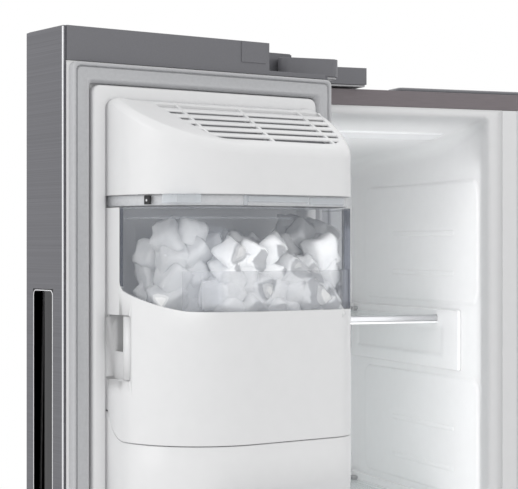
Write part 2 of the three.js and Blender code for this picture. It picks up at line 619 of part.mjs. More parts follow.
function auger() {
  const turns = 1.6;
  const steps = 18;
  let screw = cylinder('y', [AUGER.u, (AUGER.v0 + AUGER.v1) / 2, AUGER.z], 5, AUGER.v1 - AUGER.v0, 14);
  for (let i = 0; i < steps; i += 1) {
    const angle = (i / steps) * turns * 2 * Math.PI;
    const paddle = new THREE.BoxGeometry(8, (AUGER.v1 - AUGER.v0) / steps + 1, AUGER.r);
    paddle.translate(0, 0, AUGER.r / 2);
    paddle.rotateY(angle);
    paddle.translate(AUGER.u, AUGER.v0 + 3 + (i * (AUGER.v1 - AUGER.v0 - 6)) / (steps - 1), AUGER.z);
    screw = screw.add(solid(paddle));
  }
  return screw;
}

// Chute from under the bucket, through the door's core, to the roof of the dispenser recess.
function chuteRoom(grow) {
  const { u0, u1, v0, v1, recessV, frontV, elbowZ, recessZ } = CHUTE;
  const top = ICE.seam + 1;
  return sideways(outline([[v0 - grow, top], [v1 + grow, top], [v1 + grow, elbowZ], [recessV, recessZ - grow],
    [frontV - grow, recessZ - grow], [frontV - grow, recessZ + 24], [v0 - grow, elbowZ + 14 + grow]]),
  u0 - grow, u1 + grow);
}

const HOUSING = { lip: 45, slopeV: 60, slopeDrop: 110, drop: 190 };

function chuteHousing() {
  const { seam, back, side, hinge } = ICE;
  const { lip, slopeV, slopeDrop, drop } = HOUSING;
  const shape = outline([[back - 1, seam], [ICE.front, seam], [ICE.front, seam - lip],
    [ICE.front - slopeV, seam - slopeDrop], [back - 1, seam - drop]]);
  const limits = prism(icePlan(0, back - 1), seam - drop - 1, seam, 10);
  return sideways(shape, hinge, side).intersect(limits);
}

function freezerDoorLiner(width) {
  return doorLinerPlate(width).add(chuteHousing()).subtract(chuteRoom(0));
}

// ---- Dispenser --------------------------------------------------------------------------------
function dispenserRoom(grow) {
  const { u0, u1, z0, z1, v } = DISPENSER;
  return box(u0 - grow, u1 + grow, -3, v + grow, z0 - grow, z1 + grow);
}

function dispenserRecess() {
  const { u0, u1, z0, z1, v, wall, flange, panelZ } = DISPENSER;
  const shell = box(u0, u1, 0, v, z0, z1).add(box(u0 - flange, u1 + flange, -2, -GAP, z0 - flange, z1 + flange));
  const joined = shell.add(box(u0, u1, -2, 1, z0, z1));
  const niche = box(u0 + 8, u1 - 8, -3, v - wall, z0 + 10, panelZ - 6);
  const behindPanel = box(u0 + 3, u1 - 3, -3, 6, panelZ, z1 - 3);
  const drop = box(170, 226, 30, 66 - wall, panelZ - 8, z1 + 1);
  const sump = box(u0 + 14, u1 - 14, 4, v - wall - 3, z0 + 3, z0 + 12);
  return joined.subtract(niche).subtract(behindPanel).subtract(drop).subtract(sump);
}

function dispenserPanel() {
  const { u0, u1, z1, panelZ } = DISPENSER;
  return box(u0 + 3 + GAP, u1 - 3 - GAP, -2.4, 5.7, panelZ + GAP, z1 - 3 - GAP);
}

const LEVER = { v: 50, z: 1140, half: 32, drop: 96 };

function dispenserLever() {
  const { v, z, half, drop } = LEVER;
  const paddle = box(198 - half, 198 + half, v - 4, v, z - drop, z);
  return paddle.add(cylinder('x', [198, v - 2, z], 5, 2 * half, 16));
}

const FLAP = { v: 58, z: 1196 };

function chuteFlap() {
  const plate = box(174, 222, FLAP.v - 24, FLAP.v, FLAP.z - 4, FLAP.z);
  return plate.add(cylinder('x', [198, FLAP.v, FLAP.z - 2], 3, 48, 12));
}

function dripTray() {
  const { u0, u1, z0, v, wall } = DISPENSER;
  const x0 = u0 + 14.6;
  const x1 = u1 - 14.6;
  let body = box(x0, x1, 4.6, v - wall - 3.6, z0 + 3.4, z0 + 14);
  body = body.subtract(box(x0 + 2, x1 - 2, 6.6, v - wall - 5.6, z0 + 5, z0 + 12));
  for (let i = 0; i < 8; i += 1) {
    const u = x0 + 6 + i * 19.6;
    body = body.subtract(box(u, u + 14, 8, v - wall - 8, z0 + 11, z0 + 15));
  }
  return body;
}

// ---- Door assemblies --------------------------------------------------------------------------
function freezerDoor() {
  const put = doorGroup(FREEZER_DOOR);
  const { width } = FREEZER_DOOR;
  const chute = chuteRoom(0);
  put('freezer_door_skin', doorSkin(width).subtract(dispenserRoom(GAP)), STEEL);
  put('freezer_door_core', doorCore(width).subtract(dispenserRoom(GAP)).subtract(chute), FOAM);
  put('freezer_door_cap', doorCap(width), CAP);
  put('freezer_door_liner', freezerDoorLiner(width), WHITE);
  put('freezer_door_gasket', doorGasket(width), GASKET_GREY);
  put('freezer_door_handle', doorHandle(width), BLACK);
  put('freezer_door_bin_1', doorBin(FREEZER_DOOR, 640, 90, 90), CLEAR);
  put('freezer_door_bin_2', doorBin(FREEZER_DOOR, 300, 90, 90), CLEAR);
  put('ice_hood', hood(), WHITE);
  put('ice_tray', iceTray(), WHITE);
  put('ice_test_button', cylinder('z', [TEST_BUTTON.u, TEST_BUTTON.v, 1588], 4, 10, 16), BLACK);
  put('ice_bucket_window', bucketClear(), CLEAR);
  put('ice_bucket_base', bucketBase(), WHITE);
  put('ice_auger', auger(), WHITE);
  put('dispenser_recess', dispenserRecess(), BLACK);
  put('dispenser_panel', dispenserPanel(), BLACK);
  put('dispenser_lever', dispenserLever(), BLACK);
  put('chute_flap', chuteFlap(), BLACK);
  put('drip_tray', dripTray(), BLACK);
}

function fridgeDoor() {
  const put = doorGroup(FRIDGE_DOOR);
  const { width } = FRIDGE_DOOR;
  put('fridge_door_skin', doorSkin(width), STEEL);
  put('fridge_door_core', doorCore(width), FOAM);
  put('fridge_door_cap', doorCap(width), CAP);
  put('fridge_door_liner', doorLinerPlate(width), WHITE);
  put('fridge_door_gasket', doorGasket(width), GASKET_GREY);
  put('fridge_door_handle', doorHandle(width), BLACK);
  [[1330, 85, 90], [900, 110, 105], [420, 110, 115]].forEach(([z, deep, tall], i) => {
    put(`fridge_door_bin_${i + 1}`, doorBin(FRIDGE_DOOR, z, deep, tall), CLEAR);
  });
}

outerCase();
liner('freezer_liner', FREEZER, FREEZER_SHELVES.map((z) => z - SHELF.barBelow));
liner('fridge_liner', FRIDGE, [...FRIDGE_SHELVES, CRISPER_COVER].map((z) => z - SHELF.barBelow));
insulation();
mullionCover();
baseFrame();
feetAndRollers();
toeGrille();
compressor();
condenserFan();
machineCover();
hinges();
interior();
freezerDoor();
fridgeDoor();

export default refrigerator;
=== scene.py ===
"""Looks of a side by side refrigerator with both doors open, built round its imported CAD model."""
import json
import math
import random
import bmesh
import bpy
from mathutils import Euler, Matrix, Vector, geometry, noise


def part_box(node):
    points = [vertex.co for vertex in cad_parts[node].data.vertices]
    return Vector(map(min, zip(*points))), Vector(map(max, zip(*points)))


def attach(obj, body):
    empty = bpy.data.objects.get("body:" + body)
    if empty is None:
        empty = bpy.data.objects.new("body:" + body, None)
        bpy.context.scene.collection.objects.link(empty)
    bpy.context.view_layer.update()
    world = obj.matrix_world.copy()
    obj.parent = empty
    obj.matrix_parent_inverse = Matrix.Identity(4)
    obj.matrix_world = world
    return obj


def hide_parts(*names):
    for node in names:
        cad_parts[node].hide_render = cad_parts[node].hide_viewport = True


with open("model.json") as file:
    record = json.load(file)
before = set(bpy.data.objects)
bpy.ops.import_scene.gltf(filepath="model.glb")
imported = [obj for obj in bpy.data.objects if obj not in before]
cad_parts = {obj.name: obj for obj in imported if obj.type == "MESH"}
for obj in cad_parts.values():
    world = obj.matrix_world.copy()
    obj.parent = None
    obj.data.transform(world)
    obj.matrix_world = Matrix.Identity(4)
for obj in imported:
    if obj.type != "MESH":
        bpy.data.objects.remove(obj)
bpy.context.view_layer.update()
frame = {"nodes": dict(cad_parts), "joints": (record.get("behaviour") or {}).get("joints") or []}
NODES = frame["nodes"]
JOINTS = {joint["name"]: joint for joint in frame["joints"]}
MM = 0.001
GAP = 0.3

# ---- Places ----
# Cabinet pieces are written in (x from its left side, y inwards from its front, z), in millimetres.
CASE_LOW, CASE_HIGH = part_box("outer_case")
CABINET = Matrix.Translation((CASE_LOW.x, CASE_LOW.y, 0)) @ Matrix.Scale(MM, 4)
# Door pieces are written in (u from the hinge edge, v inwards from the outer face, z).
PIVOT = Vector((18, 25, 0))
DOOR_BACK = 90                   # the liner's flat face
FREEZER_WIDTH = 396
FRIDGE_WIDTH = 510


def door_place(name, side):
    """Millimetres of a door's own coordinates to the row frame, with the door open at rest."""
    joint = JOINTS[f"{name}_hinge"]
    x, y, _ = joint["pos_m"]
    turn = Matrix.Rotation(side * math.radians(joint["range_deg"][0]), 4, "Z")
    mirror = Matrix.Diagonal((side, 1, 1, 1))
    return Matrix.Translation((x, y, 0)) @ turn @ mirror @ Matrix.Scale(MM, 4) @ Matrix.Translation(-PIVOT)


FREEZER = door_place("freezer_door", 1)
FRIDGE = door_place("fridge_door", -1)


# ---- Materials ----
def speckle(nodes, links, grain, detail):
    """A noise whose grain, per metre, is one number or one for each of the object's axes."""
    place = nodes.new("ShaderNodeTexCoord")
    stretch = nodes.new("ShaderNodeMapping")
    stretch.inputs["Scale"].default_value = grain if isinstance(grain, tuple) else (grain, grain, grain)
    pattern = nodes.new("ShaderNodeTexNoise")
    pattern.inputs["Scale"].default_value = 1.0
    pattern.inputs["Detail"].default_value = detail
    links.new(place.outputs["Object"], stretch.inputs["Vector"])
    links.new(stretch.outputs["Vector"], pattern.inputs["Vector"])
    return pattern.outputs["Fac"]


def procedural(name, color, roughness, metallic=0.0, grain=300, detail=3.0, tint=0.03,
               spread=0.04, bump=0.05, depth=0.0004, alpha=1.0, coat=0.0, sheen=0.0, ior=1.45):
    """Principled material whose colour, roughness and relief follow one stretched noise."""
    material = bpy.data.materials.new(name)
    material.use_nodes = True
    nodes = material.node_tree.nodes
    links = material.node_tree.links
    shader = nodes["Principled BSDF"]
    pattern = speckle(nodes, links, grain, detail)
    ramp = nodes.new("ShaderNodeValToRGB")
    dark, light = ramp.color_ramp.elements
    dark.position = 0.3
    light.position = 0.7
    dark.color = [c * (1 - tint) for c in color] + [1]
    light.color = [min(1.0, c * (1 + tint)) for c in color] + [1]
    rough = nodes.new("ShaderNodeMapRange")
    rough.inputs["To Min"].default_value = max(0.02, roughness - spread)
    rough.inputs["To Max"].default_value = roughness + spread
    relief = nodes.new("ShaderNodeBump")
    relief.inputs["Strength"].default_value = bump
    relief.inputs["Distance"].default_value = depth
    links.new(pattern, ramp.inputs["Fac"])
    links.new(pattern, rough.inputs["Value"])
    links.new(pattern, relief.inputs["Height"])
    links.new(ramp.outputs["Color"], shader.inputs["Base Color"])
    links.new(rough.outputs["Result"], shader.inputs["Roughness"])
    links.new(relief.outputs["Normal"], shader.inputs["Normal"])
    shader.inputs["Metallic"].default_value = metallic
    shader.inputs["Alpha"].default_value = alpha
    shader.inputs["Coat Weight"].default_value = coat
    shader.inputs["Sheen Weight"].default_value = sheen
    shader.inputs["IOR"].default_value = ior
    material.diffuse_color = [*color, alpha]
    return material


STAINLESS = procedural("stainless", (0.158, 0.158, 0.172), 0.34, 0.85, grain=(3, 3, 900), detail=4,
                       tint=0.13, spread=0.08, bump=0.12, depth=0.0001)
# Light steel colour: bright trim round the dispenser, and painted highlight on the door's hem and the
# handle's edge bead.
STEEL_TRIM_AND_HIGHLIGHT = procedural("steel_trim_and_painted_highlight", (0.86, 0.86, 0.88), 0.25, 0.6, grain=(200, 200, 20), tint=0.02)
CAP_GREY = procedural("cap_grey", (0.19, 0.19, 0.205), 0.42, 0.1, grain=900, tint=0.05, bump=0.12)
CASE_PAINT = procedural("case_paint", (0.2, 0.2, 0.215), 0.45, 0.15, grain=500, tint=0.05, bump=0.25,
                        depth=0.0003)
RAIL = procedural("rail", (0.215, 0.19, 0.2), 0.4, 0.2, grain=(40, 700, 700), tint=0.05, bump=0.06)
WHITE_LINER = procedural("white_liner", (0.84, 0.842, 0.848), 0.3, grain=60, detail=5, tint=0.008,
                         bump=0.035, depth=0.0008, coat=0.15)
WHITE_MOULDING = procedural("white_moulding", (0.82, 0.825, 0.835), 0.36, grain=220, tint=0.012,
                            bump=0.05)
PALE_MOULDING = procedural("pale_moulding", (0.66, 0.67, 0.69), 0.4, grain=260, tint=0.04, bump=0.08)
GASKET = procedural("gasket", (0.54, 0.545, 0.56), 0.55, grain=240, tint=0.03, bump=0.08, sheen=0.15)
CLEAR = procedural("clear_plastic", (0.4, 0.43, 0.49), 0.07, grain=30, tint=0.03, spread=0.02, bump=0.02,
                   alpha=0.15, ior=1.5)
CLEAR_EDGE = procedural("clear_edge", (0.12, 0.13, 0.16), 0.12, grain=(30, 30, 120), tint=0.1, alpha=0.85,
                        ior=1.5)
CLEAR_BIN = procedural("clear_bin", (0.72, 0.76, 0.8), 0.08, grain=30, tint=0.03, spread=0.02, bump=0.02,
                       alpha=0.42, ior=1.55)
FROSTED = procedural("frosted_plastic", (0.66, 0.68, 0.72), 0.4, grain=500, tint=0.04, bump=0.2,
                     alpha=0.16)
ICE = procedural("ice", (0.93, 0.94, 0.955), 0.16, grain=70, detail=6, tint=0.07, spread=0.12, bump=0.45,
                 depth=0.002, alpha=0.86, coat=0.5, ior=1.31)
GLASS = procedural("shelf_glass", (0.7, 0.8, 0.78), 0.05, grain=12, tint=0.02, spread=0.02, bump=0.01,
                   alpha=0.28, ior=1.5)
GLASS_EDGE = procedural("glass_edge", (0.25, 0.42, 0.4), 0.15, grain=(40, 40, 200), tint=0.08, alpha=0.8)
SHELF_TRIM = procedural("shelf_trim", (0.5, 0.505, 0.52), 0.28, 0.75, grain=(8, 600, 600), tint=0.08,
                        bump=0.08)
FOAM = procedural("foam", (0.62, 0.52, 0.28), 0.9, grain=350, detail=6, tint=0.15, bump=0.6, depth=0.001)
BLACK = procedural("black_plastic", (0.018, 0.018, 0.02), 0.38, grain=700, tint=0.2, bump=0.15)
DARK_GREY = procedural("dark_grey_plastic", (0.06, 0.06, 0.066), 0.45, grain=700, tint=0.12, bump=0.12)
BLACK_GLASS = procedural("black_glass", (0.006, 0.006, 0.008), 0.06, grain=15, tint=0.2, spread=0.02,
                         bump=0.005, coat=1.0)
ICON = procedural("icon_print", (0.75, 0.8, 0.85), 0.4, grain=400, tint=0.03)
LAMP = procedural("lamp_lens", (0.9, 0.905, 0.92), 0.25, grain=(20, 900, 900), tint=0.02, bump=0.15,
                  coat=0.3)
ZINC = procedural("zinc_steel", (0.42, 0.42, 0.43), 0.38, 0.85, grain=120, detail=5, tint=0.14,
                  spread=0.1, bump=0.12)
RUBBER = procedural("rubber", (0.03, 0.03, 0.032), 0.75, grain=600, tint=0.2, bump=0.3)
COPPER = procedural("copper", (0.62, 0.3, 0.17), 0.3, 0.9, grain=160, tint=0.15, bump=0.08)


# ---- Mesh helpers ----
def add_object(name, data):
    made = bpy.data.objects.new(name, data)
    bpy.context.scene.collection.objects.link(made)
    return made


def smooth_mesh(piece):
    mesh = piece.data
    mesh.polygons.foreach_set("use_smooth", [True] * len(mesh.polygons))
    mesh.update()


def soften(piece, width, steps=2, angle=35):
    """Round the sharp edges by a width in millimetres, and keep the flat faces looking flat."""
    bevel = piece.modifiers.new("round", "BEVEL")
    bevel.width = width * MM
    bevel.segments = steps
    bevel.limit_method = "ANGLE"
    bevel.angle_limit = math.radians(angle)
    weigh = piece.modifiers.new("flat_faces", "WEIGHTED_NORMAL")
    weigh.keep_sharp = False


def mend(mesh, join=False, outwards=True, flip=False):
    """Join doubled points and turn the faces of a mesh."""
    work = bmesh.new()
    work.from_mesh(mesh)
    if join:
        bmesh.ops.remove_doubles(work, verts=work.verts, dist=1e-6)
    if outwards:
        bmesh.ops.recalc_face_normals(work, faces=work.faces)
    elif flip:
        bmesh.ops.reverse_faces(work, faces=work.faces)
    work.to_mesh(mesh)
    work.free()


def piece(name, points, faces, material, body, place, slot, replaces=(), bevel=0.0, steps=2, closed=True):
    """A mesh from points in millimetres of its place, riding on a body."""
    mesh = bpy.data.meshes.new(name)
    mesh.from_pydata([place @ Vector(p) for p in points], [], faces)
    mend(mesh, join=True, outwards=closed, flip=place.determinant() < 0)
    made = add_object(name, mesh)
    mesh.materials.append(material)
    smooth_mesh(made)
    if bevel:
        soften(made, bevel, steps)
    elif closed:
        made.modifiers.new("flat_faces", "WEIGHTED_NORMAL").keep_sharp = False
    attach(made, body)
    if replaces:
        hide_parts(*replaces)
    return made


def on_freezer(name, shape, material, slot, **more):
    return piece(name, *shape, material, "freezer_door", FREEZER, slot, **more)


def on_bucket(name, shape, material, slot, **more):
    return piece(name, *shape, material, "ice_bucket", FREEZER, slot, **more)


def in_cabinet(name, shape, material, slot, **more):
    return piece(name, *shape, material, "cabinet", CABINET, slot, **more)


def loft(rings, first_cap=True, last_cap=True, wrap=False):
    """Closed rings of equal length joined one to the next."""
    count = len(rings[0])
    if any(len(ring) != count for ring in rings):
        raise ValueError("loft needs rings of equal length")
    points = [p for ring in rings for p in ring]
    faces = []
    spans = len(rings) if wrap else len(rings) - 1
    for i in range(spans):
        a = i * count
        b = ((i + 1) % len(rings)) * count
        for j in range(count):
            k = (j + 1) % count
            faces.append((a + j, a + k, b + k, b + j))
    if first_cap and not wrap:
        faces.append(tuple(reversed(range(count))))
    if last_cap and not wrap:
        faces.append(tuple(range(len(points) - count, len(points))))
    return points, faces


def merge(*solids):
    """Several (points, faces) pairs as one."""
    points = []
    faces = []
    for some, around in solids:
        start = len(points)
        points += some
        faces += [tuple(i + start for i in face) for face in around]
    return points, faces


def upright(plan, *heights):
    """A plan raised through the given heights."""
    return loft([[(x, y, z) for x, y in plan] for z in heights])


def block(x0, x1, y0, y1, z0, z1):
    return upright([(x0, y0), (x1, y0), (x1, y1), (x0, y1)], z0, z1)


def arc(cx, cy, r, start, end, steps):
    """Points on an arc, with its angles in degrees."""
    turns = [math.radians(start + (end - start) * i / steps) for i in range(steps + 1)]
    return [(cx + r * math.cos(t), cy + r * math.sin(t)) for t in turns]


def rounded(a0, a1, b0, b1, r, steps=5):
    """A rectangle with round corners, anticlockwise."""
    return (arc(a0 + r, b0 + r, r, 180, 270, steps) + arc(a1 - r, b0 + r, r, 270, 360, steps)
            + arc(a1 - r, b1 - r, r, 0, 90, steps) + arc(a0 + r, b1 - r, r, 90, 180, steps))


def round_corners(corners, radii, steps=6):
    """A polygon whose corners are turned by quadratic curves of the given reach."""
    out = []
    count = len(corners)
    for i, (corner, reach) in enumerate(zip(corners, radii)):
        here = Vector(corner)
        before = (Vector(corners[i - 1]) - here).normalized() * reach + here
        after = (Vector(corners[(i + 1) % count]) - here).normalized() * reach + here
        for k in range(steps + 1):
            t = k / steps
            p = before * (1 - t) ** 2 + here * 2 * t * (1 - t) + after * t ** 2
            out.append((p.x, p.y))
    return out


def frame_rings(rect, profile, at, steps=5):
    """Rings round a rectangle, one for each (outward step, height, corner radius)."""
    a0, a1, b0, b1 = rect
    return [[at(a, b, lift) for a, b in rounded(a0 - out, a1 + out, b0 - out, b1 + out, r, steps)]
            for out, lift, r in profile]


def tube(name, route, radius, material, body, place, slot, sides=10, replaces=()):
    """A round bar along a route, with square ends."""
    rings = []
    for i, point in enumerate(route):
        here = Vector(point)
        ahead = Vector(route[min(i + 1, len(route) - 1)]) - Vector(route[max(i - 1, 0)])
        side = ahead.cross(Vector((0, 0, 1)))
        if side.length < 1e-6:
            side = ahead.cross(Vector((1, 0, 0)))
        side.normalize()
        up = side.cross(ahead).normalized()
        turns = [2 * math.pi * k / sides for k in range(sides)]
        rings.append([tuple(here + (side * math.cos(t) + up * math.sin(t)) * radius) for t in turns])
    return piece(name, *loft(rings), material, body, place, slot, replaces=replaces)


# ---- CAD nodes that keep their shape ----
def dress(node, material, width=0.8, steps=2):
    """A carried-over CAD node with its finish and softened edges."""
    shape = NODES[node]
    mesh = shape.data
    mesh.materials.clear()
    mesh.materials.append(material)
    for layer in ("custom_normal", "sharp_edge", "sharp_face"):
        if layer in mesh.attributes:
            mesh.attributes.remove(mesh.attributes[layer])
    smooth_mesh(shape)
    weld = shape.modifiers.new("weld", "WELD")
    weld.merge_threshold = 2e-5
    flat = shape.modifiers.new("flat", "DECIMATE")
    flat.decimate_type = "DISSOLVE"
    flat.angle_limit = math.radians(0.5)
    soften(shape, width, steps)


def dress_nodes():
    looks = {
        "outer_case": (CASE_PAINT, 1.2), "back_panel": (CASE_PAINT, 1.0), "machine_cover": (CASE_PAINT, 0.6),
        "top_rail": (RAIL, 0.6), "insulation": (FOAM, 0.5), "mullion_cover": (WHITE_LINER, 0.8),
        "base_frame": (ZINC, 0.5), "toe_grille": (CAP_GREY, 0.8), "compressor": (BLACK, 5.0),
        "condenser_fan": (BLACK, 0.8), "evaporator_cover": (WHITE_MOULDING, 0.8),
        "ice_tray": (WHITE_MOULDING, 0.8), "ice_auger": (WHITE_MOULDING, 0.8),
        "ice_test_button": (BLACK, 0.5), "chute_flap": (BLACK, 0.5), "drip_tray": (DARK_GREY, 0.6),
        "dispenser_recess": (BLACK, 0.8), "dispenser_panel": (BLACK_GLASS, 0.6),
        "dispenser_lever": (DARK_GREY, 1.2),
    }
    for side in ("left", "right"):
        looks |= {f"foot_{side}": (RUBBER, 1.2), f"roller_{side}": (RUBBER, 1.0),
                  f"hinge_plate_top_{side}": (ZINC, 0.5), f"hinge_cover_{side}": (CAP_GREY, 1.8)}
    for door in ("freezer_door", "fridge_door"):
        looks |= {f"{door}_skin": (STAINLESS, 0.6), f"{door}_core": (FOAM, 0.5),
                  f"{door}_cap": (CAP_GREY, 0.8), f"{door}_handle": (BLACK, 1.2)}
    for node, (material, width) in looks.items():
        dress(node, material, width)
    for node in ("freezer_door_bin_1", "freezer_door_bin_2", "fridge_door_bin_1", "fridge_door_bin_2",
                 "fridge_door_bin_3", "freezer_drawer_1", "freezer_drawer_2", "crisper_1", "crisper_2"):
        dress(node, CLEAR_BIN, 1.2)


# ---- Door parts that both doors share ----
RIM = {"hinge": 30, "inset": 34, "top": 104, "wide": 18, "z0": 106, "z1": 1718}
CAP_BOTTOM = 1745.7
DOOR_BOTTOM = 72
HEM = 5.3


def on_door(u, z, v):
    return (u, v, z)


def rim_rect(width):
    return RIM["hinge"], width - RIM["inset"], RIM["z0"], RIM["z1"]


def door_liner(door, place, width, extra=()):
    """Moulded inner face: flat edge, raised round-shouldered rim and the recess inside it."""
    rim = rim_rect(width)
    top = RIM["top"]
    side = width - HEM
    profile = [(-1, DOOR_BACK - 0.5, 9), (0, DOOR_BACK + 1, 10), (0, top - 4, 10)]
    for k in range(1, 5):
        t = math.radians(90 * k / 4)
        profile.append((-4 + 4 * math.cos(t), top - 4 + 4 * math.sin(t), 10))
    profile += [(-RIM["wide"] + 5, top, 9), (-RIM["wide"] + 2, top - 1.5, 9), (-RIM["wide"], top - 4, 9),
                (-RIM["wide"] - 3, DOOR_BACK + 2, 9), (-RIM["wide"] - 6, DOOR_BACK, 10)]
    rings = frame_rings(rim, profile, on_door, 6)
    raised = loft(rings, first_cap=False)
    plate = block(HEM, side, DOOR_BACK - 3, DOOR_BACK - 0.4, DOOR_BOTTOM, CAP_BOTTOM)
    shape = merge(raised, plate, *extra)
    return piece(f"{door}_liner_moulding", *shape, WHITE_LINER, door, place, "white_liner",
                 replaces=[f"{door}_liner"], closed=False)


GASKET_PROFILE = [(1.6, 90.4), (1.6, 94.0), (2.6, 97.2), (4.4, 99.4), (5.6, 101.6), (7.0, 102.3),
                  (8.4, 101.4), (9.6, 100.2), (12.0, 99.8), (16.0, 100.1), (19.4, 100.8), (20.2, 100.9),
                  (20.6, 98.4),
                  (21.6, 98.2), (22.0, 101.2), (22.8, 102.4), (24.2, 102.9), (25.4, 102.2), (26.0, 100.4),
                  (26.0, 91.0), (25.4, 90.4)]


def door_gasket(door, place, width):
    """Soft seal swept round the liner's rim: inner valley, ridge, flat, groove and outer lip."""
    profile = [(out, v, 4 + 0.1 * out) for out, v in GASKET_PROFILE]
    rings = frame_rings(rim_rect(width), profile, on_door, 4)
    seal = loft(rings, wrap=True)
    piece(f"{door}_seal", *seal, GASKET, door, place, "gasket", replaces=[f"{door}_gasket"])


HANDLE = {"v0": 19, "v1": 45, "z0": 620, "z1": 1474}


def handle_trim(door, place, width):
    """Thin bead round the mouth of the recessed handle, in a light steel colour that paints the highlight
    along its edge.
    """
    rect = (HANDLE["v0"] - 1.6, HANDLE["v1"] + 21, HANDLE["z0"] - 1.6, HANDLE["z1"] + 1.6)
    profile = [(-1.4, -1.5, 5), (-1.4, 0.1, 5), (-0.7, 0.5, 5.6), (0, 0.1, 6.2), (0, -1.5, 6.2)]
    rings = frame_rings(rect, profile, lambda v, z, lift: (width + lift, v, z), 5)
    piece(f"{door}_handle_trim", *loft(rings, wrap=True), STEEL_TRIM_AND_HIGHLIGHT, door, place, "stainless")


def hem_line(door, place, width):
    """The folded back edge of the door's steel skin, a rounded bead with a shadow line behind it, in a light
    steel colour that paints its highlight.
    """
    z0 = DOOR_BOTTOM - 1
    z1 = 1785.5
    ring = arc(width - 1.1, DOOR_BACK - 1.6, 1.15, -60, 180, 8)
    bead = upright(ring, z0, z1)
    piece(f"{door}_hem", *bead, STEEL_TRIM_AND_HIGHLIGHT, door, place, "stainless")


# ---- Ice box on the freezer door ----
ICE_HINGE = 36.5
ICE_INNER = 50
OVER_RIM = 104.6
ICE_SIDE = 342
ICE_FRONT = 245
ICE_CORNER = 110
ICE_BACK = 90.6
SEAM = 1299.3
SHOULDER = 1452
WINDOW_BACK = 128
WINDOW_SILL = 1477
WINDOW_LEVEL = 215
BUCKET_TOP = 1573
HOOD_BOTTOM = 1587
HOOD_TOP = 1703
SLOPE_START = 112
SLOPE = (1644 - 1703) / (240 - 112)


def divide(a, b, count):
    """Points from a up to but not including b."""
    return [(a[0] + (b[0] - a[0]) * i / count, a[1] + (b[1] - a[1]) * i / count) for i in range(count)]


def curve(a, b, c, steps=8):
    """A quadratic curve from a by b up to but not including c."""
    out = []
    for i in range(steps):
        t = i / steps
        out.append(tuple(p * (1 - t) ** 2 + q * 2 * t * (1 - t) + r * t * t for p, q, r in zip(a, b, c)))
    return out


def ice_plan(inset=0.0, back=ICE_BACK):
    """Plan of the ice box from its hinge side round the front to its free side."""
    left = ICE_HINGE + inset
    front = ICE_FRONT - inset
    side = ICE_SIDE - inset
    middle = ICE_SIDE - ICE_CORNER
    out = []
    if back < OVER_RIM:
        inner = ICE_INNER + inset
        over = OVER_RIM + inset
        out += divide((inner, back), (inner, over), 2) + divide((inner, over), (left, over), 3)
        start = (left, over)
    else:
        start = (left, back)
    out += divide(start, (left, 132), 4)
    out += curve((left, 132), (left, 156), (left + 18.5, 192))
    out += divide((left + 18.5, 192), (left + 31.5, 217), 3)
    out += curve((left + 31.5, 217), (ICE_HINGE + 45 + inset, front), (ICE_HINGE + 75, front))
    out += divide((ICE_HINGE + 75, front), (middle, front), 12)
    out += arc(middle, ICE_FRONT - ICE_CORNER, ICE_CORNER - inset, 90, 0, 18)[:-1]
    out += divide((side, ICE_FRONT - ICE_CORNER), (side, WINDOW_BACK), 4)
    out += divide((side, WINDOW_BACK), (side, back), 7) if back < WINDOW_BACK else []
    return out + [(side, back)]


def closed_plan(inset=0.0, back=ICE_BACK, steps=24):
    """The same plan closed along its back."""
    open_plan = ice_plan(inset, back)
    a = open_plan[-1]
    b = open_plan[0]
    spread = [(a[0] + (b[0] - a[0]) * i / steps, back) for i in range(1, steps)]
    return open_plan + spread


def slope_z(v):
    return HOOD_TOP + max(0.0, v - SLOPE_START) * SLOPE


VENT_AREA = round_corners([(294, 122), (268, 223), (80, 226), (42, 122)], [10, 16, 34, 10])
VENT_CENTER = (176, 172)
VENT_GAP_START = 124.5
VENT_PITCH = 17.6
VENT_GAP = 8.4
VENT_ROWS = 6
VENT_RIBS = [((259, 122), (271, 226)), ((168, 122), (187, 226)), ((75, 122), (96, 226))]


def toward(center, point, polygon):
    """Where the line from the centre by a point leaves a convex polygon."""
    start = Vector(center)
    far = start + (Vector(point) - start) * 20
    edges = zip(polygon, polygon[1:] + polygon[:1])
    crossings = [geometry.intersect_line_line_2d(start, far, Vector(a), Vector(b)) for a, b in edges]
    return tuple(next(spot for spot in crossings if spot))


def hood_shell():
    """Walls, rounded shoulder and sloping top, down into the vent opening."""
    shoulder = 10
    rings = []
    for inset, lift in ((1.2, 0), (0.4, 0.4), (0, 1.4), (0, 18), (0, 35)):
        rings.append([(u, v, HOOD_BOTTOM + lift) for u, v in closed_plan(inset)])
    for step in range(8):
        t = math.radians(90 * step / 7)
        inset = shoulder * (1 - math.cos(t))
        drop = shoulder * (1 - math.sin(t))
        rings.append([(u, v, slope_z(v) - drop) for u, v in closed_plan(inset)])
    last = [(u, v) for u, v, _ in rings[-1]]
    mouth = [toward(VENT_CENTER, p, VENT_AREA) for p in last]
    near = [(p[0] * 0.15 + q[0] * 0.85, p[1] * 0.15 + q[1] * 0.85) for p, q in zip(last, mouth)]
    rings.append([(u, v, slope_z(v)) for u, v in near])
    for inward, drop in ((0.0, 0.0), (0.9, 0.5), (1.3, 1.6), (1.3, 11)):
        ring = []
        for u, v in mouth:
            pull = (Vector(VENT_CENTER) - Vector((u, v))).normalized() * inward
            ring.append((u + pull.x, v + pull.y, slope_z(v + pull.y) - drop))
        rings.append(ring)
    shell = on_freezer("ice_hood_shell", loft(rings, False, False), WHITE_LINER, "white_liner",
                  replaces=["ice_hood"])
    thick = shell.modifiers.new("wall", "SOLIDIFY")
    thick.thickness = 1.6 * MM
    thick.offset = -1
    shell.modifiers.move(len(shell.modifiers) - 1, 0)


